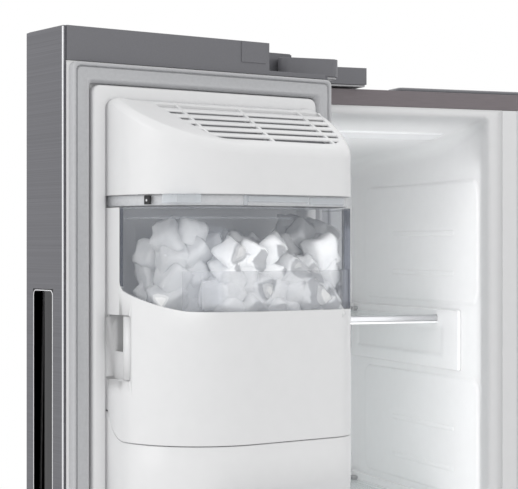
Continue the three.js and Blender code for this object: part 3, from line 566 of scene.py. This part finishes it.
def hood_slat(v0, v1):
    """One louvre: a leaning blade with a rounded top edge, running from side to side of the vent."""
    middle = (v0 + v1) / 2
    low, high = [toward((VENT_CENTER[0], middle), (u, middle), VENT_AREA)[0] for u in (0, 400)]
    rings = []
    for u in (low - 1, high + 1):
        section = [(v0 + 1.4, -3.2), (v0, -2.2), (v0 + 0.4, -0.9), (v0 + 1.6, -0.4), (v1 - 2.0, -0.4),
                   (v1 - 0.8, -0.9), (v1 - 0.2, -2.2), (v1 - 1.0, -3.2)]
        rings.append([(u, v, slope_z(v) + dz) for v, dz in section])
    return loft(rings)


def vent_shade_sheet():
    """Dark sheet a little below the louvres, painted shade that darkens the vent gaps."""
    rings = []
    for u in (78, 280):
        rings.append([(u, v, slope_z(v) + dz) for v, dz in ((115, -11), (222, -11), (222, -9), (115, -9))])
    return loft(rings)


def hood_rib(start, end):
    wide = 2.3
    rings = []
    for (u, v) in (start, end):
        section = [(-wide, -12), (-wide, -1.2), (-wide + 0.9, -0.2)]
        section += [(-du, dz) for du, dz in reversed(section)]
        rings.append([(u + du, v, slope_z(v) + dz) for du, dz in section])
    return loft(rings)


def ice_hood():
    hood_shell()
    slats = []
    for row in range(VENT_ROWS - 1):
        start = VENT_GAP_START + row * VENT_PITCH + VENT_GAP
        slats.append(hood_slat(start, start + VENT_PITCH - VENT_GAP))
    on_freezer("ice_hood_slats", merge(*slats), WHITE_LINER, "white_liner")
    # A dark sheet under the louvres paints the shade in the vent gaps.
    on_freezer("ice_hood_vent_shade", vent_shade_sheet(), CAP_GREY, "black_plastic")
    ribs = [hood_rib(a, b) for a, b in VENT_RIBS]
    on_freezer("ice_hood_ribs", merge(*ribs), WHITE_LINER, "white_liner")


def ice_maker_underside():
    """The icemaker's frame, seen in the slot between hood and bucket."""
    top = HOOD_BOTTOM - 0.3
    low = BUCKET_TOP + 1.5
    outer = closed_plan(4.5, 91)
    inner = closed_plan(8, 95)
    rings = [[(u, v, z) for u, v in plan]
             for plan, z in ((outer, low), (outer, top), (inner, top), (inner, low))]
    on_freezer("ice_maker_frame", loft(rings, wrap=True), PALE_MOULDING, "white_moulding")
    parts = [block(296, 329, 200, 232, low + 2, top), block(150, 238, 238.5, 242.5, low + 4, top - 1),
             block(96, 148, 238, 241.8, low + 2, top - 1.5), block(238, 243, 236, 242, low, top)]
    on_freezer("ice_maker_brackets", merge(*parts), CLEAR_BIN, "clear_plastic", bevel=1.0)
    switch = block(331, 333.6, 169, 181, low + 1.2, top - 0.8)
    on_freezer("ice_maker_switch", switch, BLACK, "black_plastic", bevel=0.6)
    dot = loft([[(u, 175 + y, 1580.4 + z) for y, z in arc(0, 0, 1.5, 0, 330, 11)] for u in (333.5, 334)])
    on_freezer("ice_maker_switch_dot", dot, WHITE_MOULDING, "white_moulding")


def sill_z(u, v):
    """Height of the window's lower edge: sloping along the free side, level elsewhere."""
    if u < ICE_SIDE - ICE_CORNER - 1:
        return SHOULDER
    t = (WINDOW_LEVEL - v) / (WINDOW_LEVEL - WINDOW_BACK)
    ease = 0.08
    lift = (math.sqrt(t * t + ease * ease) + t) / 2
    fillet = 9
    near = max(0.0, fillet - (v - WINDOW_BACK))
    corner = fillet - math.sqrt(max(0.0, fillet * fillet - near * near))
    return SHOULDER + (WINDOW_SILL - SHOULDER) * lift + corner


def above_sill(u, v):
    return sill_z(u, v) + GAP


def window_strip(outer, inner, lower, upper, keep=lambda u, v: True):
    """An upright wall between two insets of the ice box's plan, along the stretch that keep() picks."""
    back = WINDOW_BACK + GAP
    rings = []
    for (u, v), (a, b) in zip(ice_plan(outer, back), ice_plan(inner, back)):
        if keep(u, v):
            foot = lower(u, v)
            rings.append([(u, v, foot), (u, v, upper), (a, b, upper), (a, b, foot)])
    return loft(rings)


BAND_TOP = 1499                  # the frosted band along the window's foot


def ice_window():
    """Clear shell of the bucket with a thicker frosted band along its foot and dark moulded ends."""
    shell = window_strip(0.6, 3.4, above_sill, BUCKET_TOP)
    on_bucket("ice_bucket_shell", shell, CLEAR, "clear_plastic", replaces=["ice_bucket_window"])
    band = window_strip(0.1, 3.6, above_sill, BAND_TOP, lambda u, v: u < 316 and v > 190)
    on_bucket("ice_bucket_foot_band", band, FROSTED, "clear_plastic")
    def back_end(u, v):
        return u > ICE_SIDE - 1 and v < WINDOW_BACK + 2

    ends = [
        window_strip(0.4, 7, lambda u, v: BAND_TOP + GAP, BUCKET_TOP, lambda u, v: 58 < u < 84 and v > 190),
        window_strip(0.0, 7, lambda u, v: SHOULDER + GAP, BAND_TOP, lambda u, v: 52 < u < 86 and v > 190),
        window_strip(0.4, 4.2, above_sill, BUCKET_TOP, back_end),
    ]
    on_bucket("ice_bucket_ends", merge(*ends), CLEAR_EDGE, "clear_plastic")
    lip = window_strip(0.4, 3.8, lambda u, v: BUCKET_TOP - 2.2, BUCKET_TOP)
    on_bucket("ice_bucket_lip", lip, FROSTED, "clear_plastic")
    rail = window_strip(7, 8.5, lambda u, v: BUCKET_TOP - 14, BUCKET_TOP - 11.5, lambda u, v: u > 170)
    on_bucket("ice_bucket_inner_rail", rail, FROSTED, "clear_plastic")


SEAM_RADIUS = 34
COLUMN_EDGE = 299                # inner edge of the upright beside the window
TROUGH_FLOOR = 1376


def seam_z(u, v):
    """Lower edge of the bucket, which turns up in a large curve beside the door's rim."""
    if u < ICE_SIDE - ICE_CORNER:
        return SEAM
    near = max(0.0, SEAM_RADIUS - max(0.0, v - OVER_RIM))
    return SEAM + SEAM_RADIUS - math.sqrt(max(0.0, SEAM_RADIUS ** 2 - near ** 2))


def base_top(u, v):
    return BUCKET_TOP if v < WINDOW_BACK and u > COLUMN_EDGE else sill_z(u, v)


def with_column_edge(plan):
    """Doubles the point where the side column ends, so that the wall can step down there."""
    out = []
    for u, v in plan:
        if u > COLUMN_EDGE and abs(v - WINDOW_BACK) < 1e-6:
            out.append((u, v + 0.001))
            out.append((u, v - 0.001))
        else:
            out.append((u, v))
    return out


GRIP = (98, 151, 1370, 1447)
GRIP_DEPTH = 11


def grip_cutter():
    """Round-cornered box for the finger recess in the bucket's free side."""
    ring = rounded(*GRIP, 4, 4)
    return loft([[(u, v, z) for v, z in ring] for u in (ICE_SIDE - GRIP_DEPTH, ICE_SIDE + 4)])


def carve(target, cutter, place):
    """Cut a closed shape out of a piece and keep the result as its mesh."""
    mesh = bpy.data.meshes.new("cutter")
    points, faces = cutter
    mesh.from_pydata([place @ Vector(p) for p in points], [], faces)
    tool = add_object("cutter", mesh)
    mend(mesh)
    cut = target.modifiers.new("cut", "BOOLEAN")
    cut.operation = "DIFFERENCE"
    cut.solver = "EXACT"
    cut.object = tool
    target.modifiers.move(len(target.modifiers) - 1, 0)
    kept = [m.name for m in target.modifiers if m.name != "cut"]
    for name in kept:
        target.modifiers[name].show_viewport = False
    bpy.context.view_layer.update()
    seen = target.evaluated_get(bpy.context.evaluated_depsgraph_get())
    new = bpy.data.meshes.new_from_object(seen)
    target.modifiers.remove(cut)
    for name in kept:
        target.modifiers[name].show_viewport = True
    target.data = new
    bpy.data.objects.remove(tool)
    smooth_mesh(target)


def ice_base():
    def ring(inset, back, height):
        plan = with_column_edge(closed_plan(inset, back))
        return [(u, v, height(u, v)) for u, v in plan]

    lip = 0.9
    rings = [
        ring(lip, ICE_BACK, seam_z),
        ring(0.25, ICE_BACK, lambda u, v: seam_z(u, v) + 0.25),
        ring(0, ICE_BACK, lambda u, v: seam_z(u, v) + lip),
        ring(0, ICE_BACK, lambda u, v: 1350),
        ring(0, ICE_BACK, lambda u, v: 1440),
        ring(0, ICE_BACK, lambda u, v: base_top(u, v) - lip),
        ring(0.25, ICE_BACK, lambda u, v: base_top(u, v) - 0.25),
        ring(lip, ICE_BACK, base_top),
        ring(3.6, ICE_BACK + 3, base_top),
        ring(6, ICE_BACK + 6, lambda u, v: min(base_top(u, v), SHOULDER - 4)),
        ring(14, ICE_BACK + 13, lambda u, v: TROUGH_FLOOR),
    ]
    base = on_bucket("ice_bucket_body", loft(rings), WHITE_LINER, "white_liner",
                 replaces=["ice_bucket_base"])
    carve(base, grip_cutter(), FREEZER)
    rail_ring = arc(ICE_SIDE - GRIP_DEPTH, 138, 10, 0, 360, 28)[:-1]
    bar = upright(rail_ring, GRIP[2] + 1.5, GRIP[3] - 1.5)
    on_bucket("ice_bucket_grip", bar, WHITE_LINER, "white_liner")


def chute_housing():
    """Moulding under the bucket that carries its lines on down the door, then slopes back to it."""
    lip = 45
    slope_v = 60
    slope_drop = 110
    drop = 190
    seam = 1299
    steps = 12
    upper = drop - 53

    def reach(z):
        down = seam - z
        if down < lip:
            return ICE_FRONT
        if down < slope_drop:
            return ICE_FRONT - slope_v * (down - lip) / (slope_drop - lip)
        back = ICE_FRONT - slope_v - DOOR_BACK
        return ICE_FRONT - slope_v - back * (down - slope_drop) / (drop - slope_drop)

    rings = []
    for z in [seam - drop + 2] + [seam - drop + 8 + upper * i / steps for i in range(steps + 1)]:
        rings.append([(u, min(v, max(reach(z), DOOR_BACK)), z) for u, v in closed_plan(0, DOOR_BACK - 1)])
    rings.append([(u, v, seam_z(u, v) - 1.9) for u, v in closed_plan(0, DOOR_BACK - 1)])
    rings.append([(u, v, seam_z(u, v) - 1.1) for u, v in closed_plan(0.8, DOOR_BACK - 1)])
    return loft(rings)


# ---- Ice ----
def ice_cube(center, half, turn, seed):
    """A rounded, slightly uneven block of ice."""
    cuts = 5
    points = []
    faces = []
    for axis in range(3):
        for sign in (-1, 1):
            start = len(points)
            for i in range(cuts + 1):
                for j in range(cuts + 1):
                    flat = [2 * i / cuts - 1, 2 * j / cuts - 1]
                    p = [0.0, 0.0, 0.0]
                    p[axis] = sign
                    p[(axis + 1) % 3] = flat[0] * sign
                    p[(axis + 2) % 3] = flat[1]
                    raw = Vector(p)
                    length = sum(abs(c) ** 10 for c in raw) ** (1 / 10)
                    shape = raw / length
                    wobble = noise.noise(shape * 1.1 + Vector((seed, 0, 0))) * 0.22
                    chip = noise.noise(shape * 3.1 + Vector((0, seed, 0))) * 0.07
                    local = Vector([c * h for c, h in zip(shape, half)]) * (1 + wobble + chip)
                    points.append(tuple(turn @ local + center))
            for i in range(cuts):
                for j in range(cuts):
                    a = start + i * (cuts + 1) + j
                    faces.append((a, a + cuts + 1, a + cuts + 2, a + 1))
    return points, faces


def heap_z(u):
    """Uneven top of the heap along the bucket."""
    return 1543 + 10 * math.sin((u - 40) / 31) + 6 * math.sin(u / 13)


def in_bucket(u, v, reach):
    """Whether a cube of that reach stays off the bucket's walls."""
    wall = 4
    if u < 58 + reach or not 116 + reach < v < ICE_FRONT - wall - reach:
        return False
    if v > 200 and u < 74 + reach:
        return False
    past_u = max(0, u - (ICE_SIDE - ICE_CORNER))
    past_v = max(0, v - (ICE_FRONT - ICE_CORNER))
    return not past_u or math.hypot(past_u, past_v) < ICE_CORNER - wall - reach


def ice_cubes():
    chance = random.Random(23)
    cubes = []
    for z in range(1426, 1570, 23):
        for i in range(10):
            for v in (140, 176, 218):
                u = 78 + 28 * i + chance.uniform(-6, 6)
                v += chance.uniform(-6, 6)
                half = [chance.uniform(14, 19.5) for _ in range(3)]
                turn = Euler([chance.uniform(-0.75, 0.75) for _ in range(3)]).to_matrix()
                seed = chance.uniform(0, 90)
                height = z + chance.uniform(-5, 5)
                if height + 15 > heap_z(u) + 6 * (v < 190) or not in_bucket(u, v, 18):
                    continue
                cubes.append(ice_cube(Vector((u, v, height)), half, turn, seed))
    heap = on_bucket("ice_cubes", merge(*cubes), ICE, "clear_plastic")
    heap.data.set_sharp_from_angle(angle=math.radians(24))


# ---- Cabinet ----
FLANGE_BOTTOM = 68
FLANGE_TOP = 1726.7
CAVITY_BOTTOM = 108
CAVITY_TOP = 1714
CAVITY_DEPTH = 545
STEP_FRONT = 395
STEP_TOP = 338
FREEZER_SPACE = {"name": "freezer", "x0": 34, "x1": 371, "flange": (3.3, 393)}
FRIDGE_SPACE = {"name": "fridge", "x0": 443, "x1": 868, "flange": (418, 908.7)}


def cavity_liner(space):
    """Front flange, soft lip, walls with a sloping ceiling and coved corners, and the step at the back."""
    x0 = space["x0"]
    x1 = space["x1"]
    z0 = CAVITY_BOTTOM
    f0, f1 = space["flange"]

    def ring(y, inset, drop, r):
        return [(x, y, z) for x, z in rounded(x0 + inset, x1 - inset, z0 + inset, CAVITY_TOP - drop, r, 7)]

    rings = [[(x, GAP + 3, z) for x, z in rounded(f0, f1, FLANGE_BOTTOM, FLANGE_TOP, 0.4, 7)],
             [(x, GAP, z) for x, z in rounded(f0, f1, FLANGE_BOTTOM, FLANGE_TOP, 0.4, 7)]]
    lip = 5
    for k in range(6):
        t = math.radians(90 * k / 5)
        spread = lip * (1 - math.sin(t))
        rings.append(ring(GAP + lip * (1 - math.cos(t)), -spread, -spread, 9 + spread))
    rings += [ring(60, 0, 11, 18), ring(150, 0.6, 26, 24), ring(290, 1.0, 33, 28), ring(430, 1.4, 40, 30)]
    back = CAVITY_DEPTH - 1
    cove = 16
    for k in range(5):
        t = math.radians(90 * k / 4)
        inward = cove * (1 - math.cos(t))
        rings.append(ring(back - cove * (1 - math.sin(t)), 1.4 + inward, 42 + inward, 30))
    tub = loft(rings, first_cap=False)
    made = in_cabinet(f"{space['name']}_cavity", tub, WHITE_LINER, "white_liner",
                 replaces=[f"{space['name']}_liner"], closed=False)
    mend(made.data)
    step = block(x0 + 1, x1 - 1, STEP_FRONT, CAVITY_DEPTH - 2, z0 - 3, STEP_TOP)
    in_cabinet(f"{space['name']}_step", step, WHITE_LINER, "white_liner", bevel=9, steps=4)


def pressed(x, side, area, profile, radius, steps):
    """A panel pressed out of a side wall, with one round-cornered ring for each (inset, rise)."""
    y0, y1, z0, z1 = area
    rings = []
    for inset, rise in profile:
        ring = rounded(y0 + inset, y1 - inset, z0 + inset, z1 - inset, radius(inset), steps)
        rings.append([(x + side * rise, y, z) for y, z in ring])
    return loft(rings, first_cap=False)


def wall_pad(x, side, foot, top):
    """A large panel between two shelves."""
    profile = [(-3, -0.6), (0, 0), (1.6, 1.54), (3.4, 2.2), (6, 2.2)]
    return pressed(x, side, (30, 424, foot, top), profile, lambda inset: max(3, 22 - inset), 6)


def wall_rib(x, side, z):
    """A low line across a panel."""
    profile = [(-0.6, -0.4), (0.3, 0.35), (1.3, 0.8), (2.2, 0.9)]
    return pressed(x + side * 2.1, side, (104, 315, z - 4, z + 4), profile, lambda inset: 1.6, 4)


def shelf_support(x, side, shelf):
    """The block that carries a shelf, with a shallow tray in its face."""
    rings = []
    for inset, rise in ((0, 0), (0.8, 3.2), (2.4, 4.2), (17, 4.2), (21, 3.4), (24, 0.8)):
        in_tray = inset > 10
        low = shelf - 75 + inset
        high = shelf + 18 - inset * (1.4 if in_tray else 1)
        front = 86 + inset * (2.6 if in_tray else 1)
        ring = rounded(front, 476 - inset * 1.4, low, high, 5, 4)
        rings.append([(x + side * rise, y, z) for y, z in ring])
    return loft(rings, first_cap=False)


def ceiling_lamp(space):
    """Long lens that follows the ceiling's slope."""
    rings = []
    for inset, drop in ((-2, -1), (0, 1.4), (2, 2.6), (5, 3.0)):
        ring = rounded(space["x0"] + 38 + inset, space["x1"] - 24 - inset, 92 + inset, 136 - inset, 6, 4)
        rings.append([(x, y, CAVITY_TOP - 0.17 * y - drop + 0.6) for x, y in ring])
    return loft(rings, first_cap=False)


def cavity_mouldings(space, shelf_nodes):
    """Pressed panels and shelf supports on both side walls, with the ceiling lamp."""
    name = space["name"]
    pads = []
    supports = []
    shelves = [(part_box(node)[0].z / MM) + 4 for node in shelf_nodes]
    tops = [1626] + [z - 85 for z in shelves]
    for x, side in ((space["x0"] + 0.8, 1), (space["x1"] - 0.8, -1)):
        beside_ice = name == "freezer" and side > 0
        side *= 0.3 if beside_ice else 1
        for shelf, top in zip(shelves, tops):
            pads.append(wall_pad(x, side, shelf + 28, top))
            ribs = [top - 79 - 62 * k for k in range(3)]
            pads += [wall_rib(x, side, rib) for rib in ribs if rib > shelf + 60]
            supports.append(shelf_support(x, side, shelf))
    in_cabinet(f"{name}_wall_panels", merge(*pads), WHITE_LINER, "white_liner")
    in_cabinet(f"{name}_shelf_supports", merge(*supports), WHITE_LINER, "white_liner")
    in_cabinet(f"{name}_lamp", ceiling_lamp(space), LAMP, "white_moulding")


def glass_shelf(node):
    """Glass pane with a bright front bar, rails at the sides and a rear fence, for one CAD shelf."""
    low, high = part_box(node)
    x0, y0, z0 = (low - CASE_LOW) / MM
    x1, y1, _ = (high - CASE_LOW) / MM
    z0 = low.z / MM
    plane = z0 + 4
    pane = block(x0 + 3, x1 - 3, y0 + 5, y1 - 6, plane + 0.5, plane + 4.7)
    in_cabinet(f"{node}_pane", pane, GLASS, "shelf_glass", replaces=[node], bevel=0.5)
    edge = block(x0 + 2, x1 - 2, y0 + 4.6, y0 + 6.2, plane + 0.4, plane + 4.8)
    in_cabinet(f"{node}_pane_edge", edge, GLASS_EDGE, "shelf_glass", bevel=0.3)
    section = [(0.8, -0.2), (3.6, -1.2), (6.2, -1.0), (6.6, 1.5), (6.6, 6.6), (5.2, 8.4), (2.6, 8.6),
               (0.6, 6.8), (0, 4)]
    bar = loft([[(x, y0 + dy, plane + dz) for dy, dz in section] for x in (x0, x1)])
    in_cabinet(f"{node}_bar", bar, SHELF_TRIM, "stainless", bevel=0.5)
    under = block(x0 + 1, x1 - 1, y0 + 1.5, y0 + 12, plane - 4.2, plane - 1)
    rails = [under]
    for x in (x0, x1 - 6):
        rails.append(block(x, x + 6, y0 + 8, y1 - 2, plane - 3.5, plane + 6.2))
    rails.append(block(x0, x1, y1 - 5, y1, plane - 1, plane + 15.6))
    in_cabinet(f"{node}_frame", merge(*rails), WHITE_MOULDING, "white_moulding", bevel=0.9)
    clips = [block(x - 5, x + 5, y1 - 22, y1 - 8, plane + 4, plane + 11) for x in (x0 + 9, x1 - 9)]
    in_cabinet(f"{node}_clips", merge(*clips), ZINC, "zinc_steel", bevel=1.2)


def drawer_trim(node):
    """White top rail and a pale grip strip on the front of a clear drawer."""
    low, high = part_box(node)
    x0, y0, _ = (low - CASE_LOW) / MM
    x1, _, _ = (high - CASE_LOW) / MM
    top = high.z / MM
    foot = low.z / MM
    face = y0 + 14
    ring = rounded(x0 + 1, x1 - 1, top - 9, top + 0.6, 2.5, 3)
    rail = loft([[(x, y, z) for x, z in ring] for y in (face - 1.2, face + 10)])
    rib = block(x0 + 14, x1 - 14, face - 1.4, face + 1, foot + 14, foot + 18)
    piece(f"{node}_trim", *merge(rail, rib), WHITE_MOULDING, node, CABINET, "white_moulding", bevel=0.6)


def screw_head(a, b, wide, narrow, heights, at):
    """A low round head about (a, b) with a smaller top; at() places its points."""
    return loft([[at(p, q, lift) for p, q in arc(a, b, r, 0, 330, 11)]
                 for r, lift in zip((wide, wide, narrow), heights)])


def hinge_details():
    """Screws on the hinge covers."""
    top = 1770
    for side, name in ((1, "left"), (-1, "right")):
        place = CABINET if side > 0 else Matrix.Translation(
            (CASE_LOW.x + CASE_HIGH.x, 0, 0)) @ Matrix.Diagonal((-1, 1, 1, 1)) @ CABINET
        heads = [screw_head(x, y, 5.2, 3.6, (top - 1, top + 0.8, top + 1.6), lambda a, b, z: (a, b, z))
                 for x, y in ((118, 24), (150, 24), (76, 30))]
        piece(f"hinge_screws_{name}", *merge(*heads), ZINC, "cabinet", place, "zinc_steel")


def back_details():
    """Pressed ribs, screws along the edges, a water valve and the pipes of the compressor room."""
    depth = (CASE_HIGH.y - CASE_LOW.y) / MM
    rib_foot = 420
    rib_top = 1640
    ribs = []
    for x in (150, 275, 637, 762):
        ring = rounded(x - 9, x + 9, rib_foot, rib_top, 9, 5)
        inner = rounded(x - 4, x + 4, rib_foot + 5, rib_top - 5, 4, 5)
        ribs.append(loft([[(a, depth - 0.5, b) for a, b in ring], [(a, depth + 2.4, b) for a, b in inner]]))
    in_cabinet("back_ribs", merge(*ribs), CASE_PAINT, "case_paint")
    spots = [(x, z) for x in (16, 896) for z in range(360, 1740, 170)]
    spots += [(x, z) for x in range(60, 880, 130) for z in (1735, 322, 62)]
    heads = [screw_head(x, z, 5, 3.4, (depth - 0.5, depth + 1.4, depth + 2.2), lambda a, b, y: (a, y, b))
             for x, z in spots]
    in_cabinet("back_screws", merge(*heads), ZINC, "zinc_steel")
    valve = merge(block(770, 806, depth - 0.5, depth + 4, 196, 226),
                  loft([[(a, y, b) for a, b in arc(788, 211, r, 0, 330, 11)]
                        for y, r in ((depth + 3, 11), (depth + 5.4, 11), (depth + 5.6, 6))]))
    in_cabinet("water_inlet", valve, BLACK, "black_plastic", bevel=0.6)
    for i, (x, z) in enumerate(((214, 190), (290, 196))):
        route = [(x, 560, z - 40), (x, 560, z + 40), (x + 12, 552, z + 66), (x + 60, 520, z + 74),
                 (x + 130, 500, z + 60)]
        tube(f"refrigerant_pipe_{i + 1}", route, 4, COPPER, "cabinet", CABINET, "zinc_steel")


def top_details():
    """Cover over the wiring between the hinges, on the cabinet's top."""
    ring = rounded(230, 682, 14, 62, 8, 5)
    small = rounded(234, 678, 18, 58, 6, 5)
    cover = loft([[(x, y, 1749.5) for x, y in ring], [(x, y, 1754) for x, y in ring],
                  [(x, y, 1756.5) for x, y in small]])
    in_cabinet("wiring_cover", cover, CAP_GREY, "cap_grey")


# ---- Dispenser ----
def dispenser_details():
    """Bright frame, generic symbols and a small lamp on the dispenser in the freezer door's face."""
    rect = (100, 296, 880, 1290)
    profile = [(6.2, -0.4, 8), (6.2, -2.4, 8), (4.8, -3.4, 7), (2.6, -3.4, 6), (1.2, -2.2, 5),
               (1.0, -0.4, 5)]
    rings = frame_rings(rect, profile, on_door, 6)
    on_freezer("dispenser_frame", loft(rings, wrap=True), STEEL_TRIM_AND_HIGHLIGHT, "stainless")
    face = -2.75
    marks = []
    raised = face - 0.15
    row = 1252
    for sides, u in enumerate((132, 165, 198, 231, 264), start=3):
        marks.append(loft([[(a, v, b) for a, b in arc(u, row, r, 0, 330, 11)]
                           for r, v in ((9, face), (9, raised), (7.9, raised), (7.9, face))], wrap=True))
        sign = arc(u, row, 4, 90, 90 + 360 * (sides - 1) / sides, sides - 1)
        marks.append(loft([[(a, v, b) for a, b in sign] for v in (face, raised)]))
        marks.append(block(u - 7, u + 7, raised, face, row - 24, row - 22.4))
    on_freezer("dispenser_symbols", merge(*marks), ICON, "white_moulding")
    lens = block(160, 236, 14, 26, 1186, 1199.5)
    on_freezer("dispenser_lamp", lens, LAMP, "white_moulding", bevel=1.5)
    ring = [arc(198, 40, r, 0, 345, 23) for r in (16, 16, 12.5, 12.5)]
    heights = (1199, 1184, 1184, 1199)
    spout = loft([[(a, b, z) for a, b in loop] for loop, z in zip(ring, heights)], wrap=True)
    on_freezer("dispenser_spout", spout, DARK_GREY, "black_plastic")


def door_extras(door, place, width):
    """Black blocks under the door's corners."""
    blocks = [block(width - 60, width - 8, 8, 80, 69.5, 72.5), block(70, 120, 8, 80, 69.5, 72.5)]
    piece(f"{door}_foot_blocks", *merge(*blocks), BLACK, door, place, "black_plastic", bevel=0.6)


def bin_trim(node, place, body):
    """Pale rail along the top edge of a door bin's front."""
    inverse = place.inverted()
    corners = [inverse @ v.co for v in NODES[node].data.vertices]
    u0 = min(p.x for p in corners)
    u1 = max(p.x for p in corners)
    v1 = max(p.y for p in corners)
    top = max(p.z for p in corners)
    foot = min(p.z for p in corners)
    ring = rounded(v1 - 4.2, v1 + 1.2, top - 10, top + 0.8, 2.2, 3)
    rail = loft([[(u, v, z) for v, z in ring] for u in (u0 + 0.4, u1 - 0.4)])
    ribs = [block(u0 + 20, u1 - 20, v1 - 0.5, v1 + 0.7, foot + h, foot + h + 2.5) for h in (14, 22)]
    piece(f"{node}_trim", *merge(rail, *ribs), WHITE_MOULDING, body, place, "white_moulding", bevel=0.5)


# ---- Floor, light and camera ----
def stage():
    floor = bpy.data.meshes.new("floor")
    reach = 3.2
    floor.from_pydata([(-reach, -reach, 0), (reach, -reach, 0), (reach, reach, 0), (-reach, reach, 0)], [],
                      [(0, 1, 2, 3)])
    made = add_object("floor", floor)
    floor.materials.append(procedural("floor_paint", (0.78, 0.78, 0.78), 0.6, grain=6, tint=0.01))


def lamp(name, place, target, size, power):
    light = bpy.data.lights.new(name, "AREA")
    light.shape = "RECTANGLE"
    light.size = size
    light.size_y = size
    light.energy = power
    made = add_object(name, light)
    made.location = place
    made.rotation_euler = (Vector(target) - Vector(place)).to_track_quat("-Z", "Y").to_euler()
    return made


def sky():
    """White surroundings, a little dimmer in front of the refrigerator than behind it."""
    world = bpy.data.worlds.new("studio")
    bpy.context.scene.world = world
    world.use_nodes = True
    nodes = world.node_tree.nodes
    links = world.node_tree.links
    place = nodes.new("ShaderNodeTexCoord")
    split = nodes.new("ShaderNodeSeparateXYZ")
    fade = nodes.new("ShaderNodeMapRange")
    fade.inputs["From Min"].default_value = -0.4
    fade.inputs["From Max"].default_value = 0.4
    fade.inputs["To Min"].default_value = 0.88
    fade.inputs["To Max"].default_value = 1.0
    links.new(place.outputs["Generated"], split.inputs["Vector"])
    links.new(split.outputs["Y"], fade.inputs["Value"])
    links.new(fade.outputs["Result"], nodes["Background"].inputs["Strength"])
    nodes["Background"].inputs["Color"].default_value = (1, 1, 1, 1)


def cavity_lamp(space, power):
    """Soft light in a compartment's mouth that shines inwards."""
    middle = (space["x0"] + space["x1"]) / 2
    spot = CABINET @ Vector((middle, 22, 910))
    made = lamp(f"{space['name']}_glow", spot, spot + Vector((0, 1, 0)), 1.48, power)
    made.data.size = (space["x1"] - space["x0"] - 20) * MM


def studio():
    sky()
    lamp("key", (-3.4, -0.6, 2.6), (-0.4, -0.2, 1.3), 1.6, 13)
    cavity_lamp(FREEZER_SPACE, 1.75)
    cavity_lamp(FRIDGE_SPACE, 2.2)
    before_ice = FREEZER @ Vector((200, 237, 1505))
    glow = lamp("ice_glow", before_ice, FREEZER @ Vector((200, 100, 1505)), 0.09, 0.06)
    glow.data.size = 0.26
    glow.visible_camera = False
    bpy.context.scene.view_settings.view_transform = "Standard"


def camera():
    data = bpy.data.cameras.new("camera")
    data.sensor_width = 36
    data.lens = 111.84
    data.clip_end = 60
    made = add_object("camera", data)
    made.location = (-1.2616, -2.1534, 1.5295)
    made.rotation_euler = (math.radians(90), 0, math.radians(-21.43))
    bpy.context.scene.camera = made


# ---- Build ----
def build():
    dress_nodes()
    for door, place, width, extra in (("freezer_door", FREEZER, FREEZER_WIDTH, (chute_housing(),)),
                                      ("fridge_door", FRIDGE, FRIDGE_WIDTH, ())):
        door_liner(door, place, width, extra)
        door_gasket(door, place, width)
        handle_trim(door, place, width)
        hem_line(door, place, width)
        door_extras(door, place, width)
    for i in (1, 2):
        bin_trim(f"freezer_door_bin_{i}", FREEZER, "freezer_door")
    for i in (1, 2, 3):
        bin_trim(f"fridge_door_bin_{i}", FRIDGE, "fridge_door")
    ice_hood()
    ice_maker_underside()
    ice_window()
    ice_base()
    ice_cubes()
    dispenser_details()
    freezer_shelves = [f"freezer_shelf_{i}" for i in (1, 2, 3)]
    fridge_shelves = [f"fridge_shelf_{i}" for i in (1, 2, 3)]
    cavity_liner(FREEZER_SPACE)
    cavity_liner(FRIDGE_SPACE)
    cavity_mouldings(FREEZER_SPACE, freezer_shelves)
    cavity_mouldings(FRIDGE_SPACE, fridge_shelves)
    for node in freezer_shelves + fridge_shelves + ["crisper_cover"]:
        glass_shelf(node)
    for node in ("freezer_drawer_1", "freezer_drawer_2", "crisper_1", "crisper_2"):
        drawer_trim(node)
    hinge_details()
    back_details()
    top_details()
    stage()
    studio()
    camera()


build()
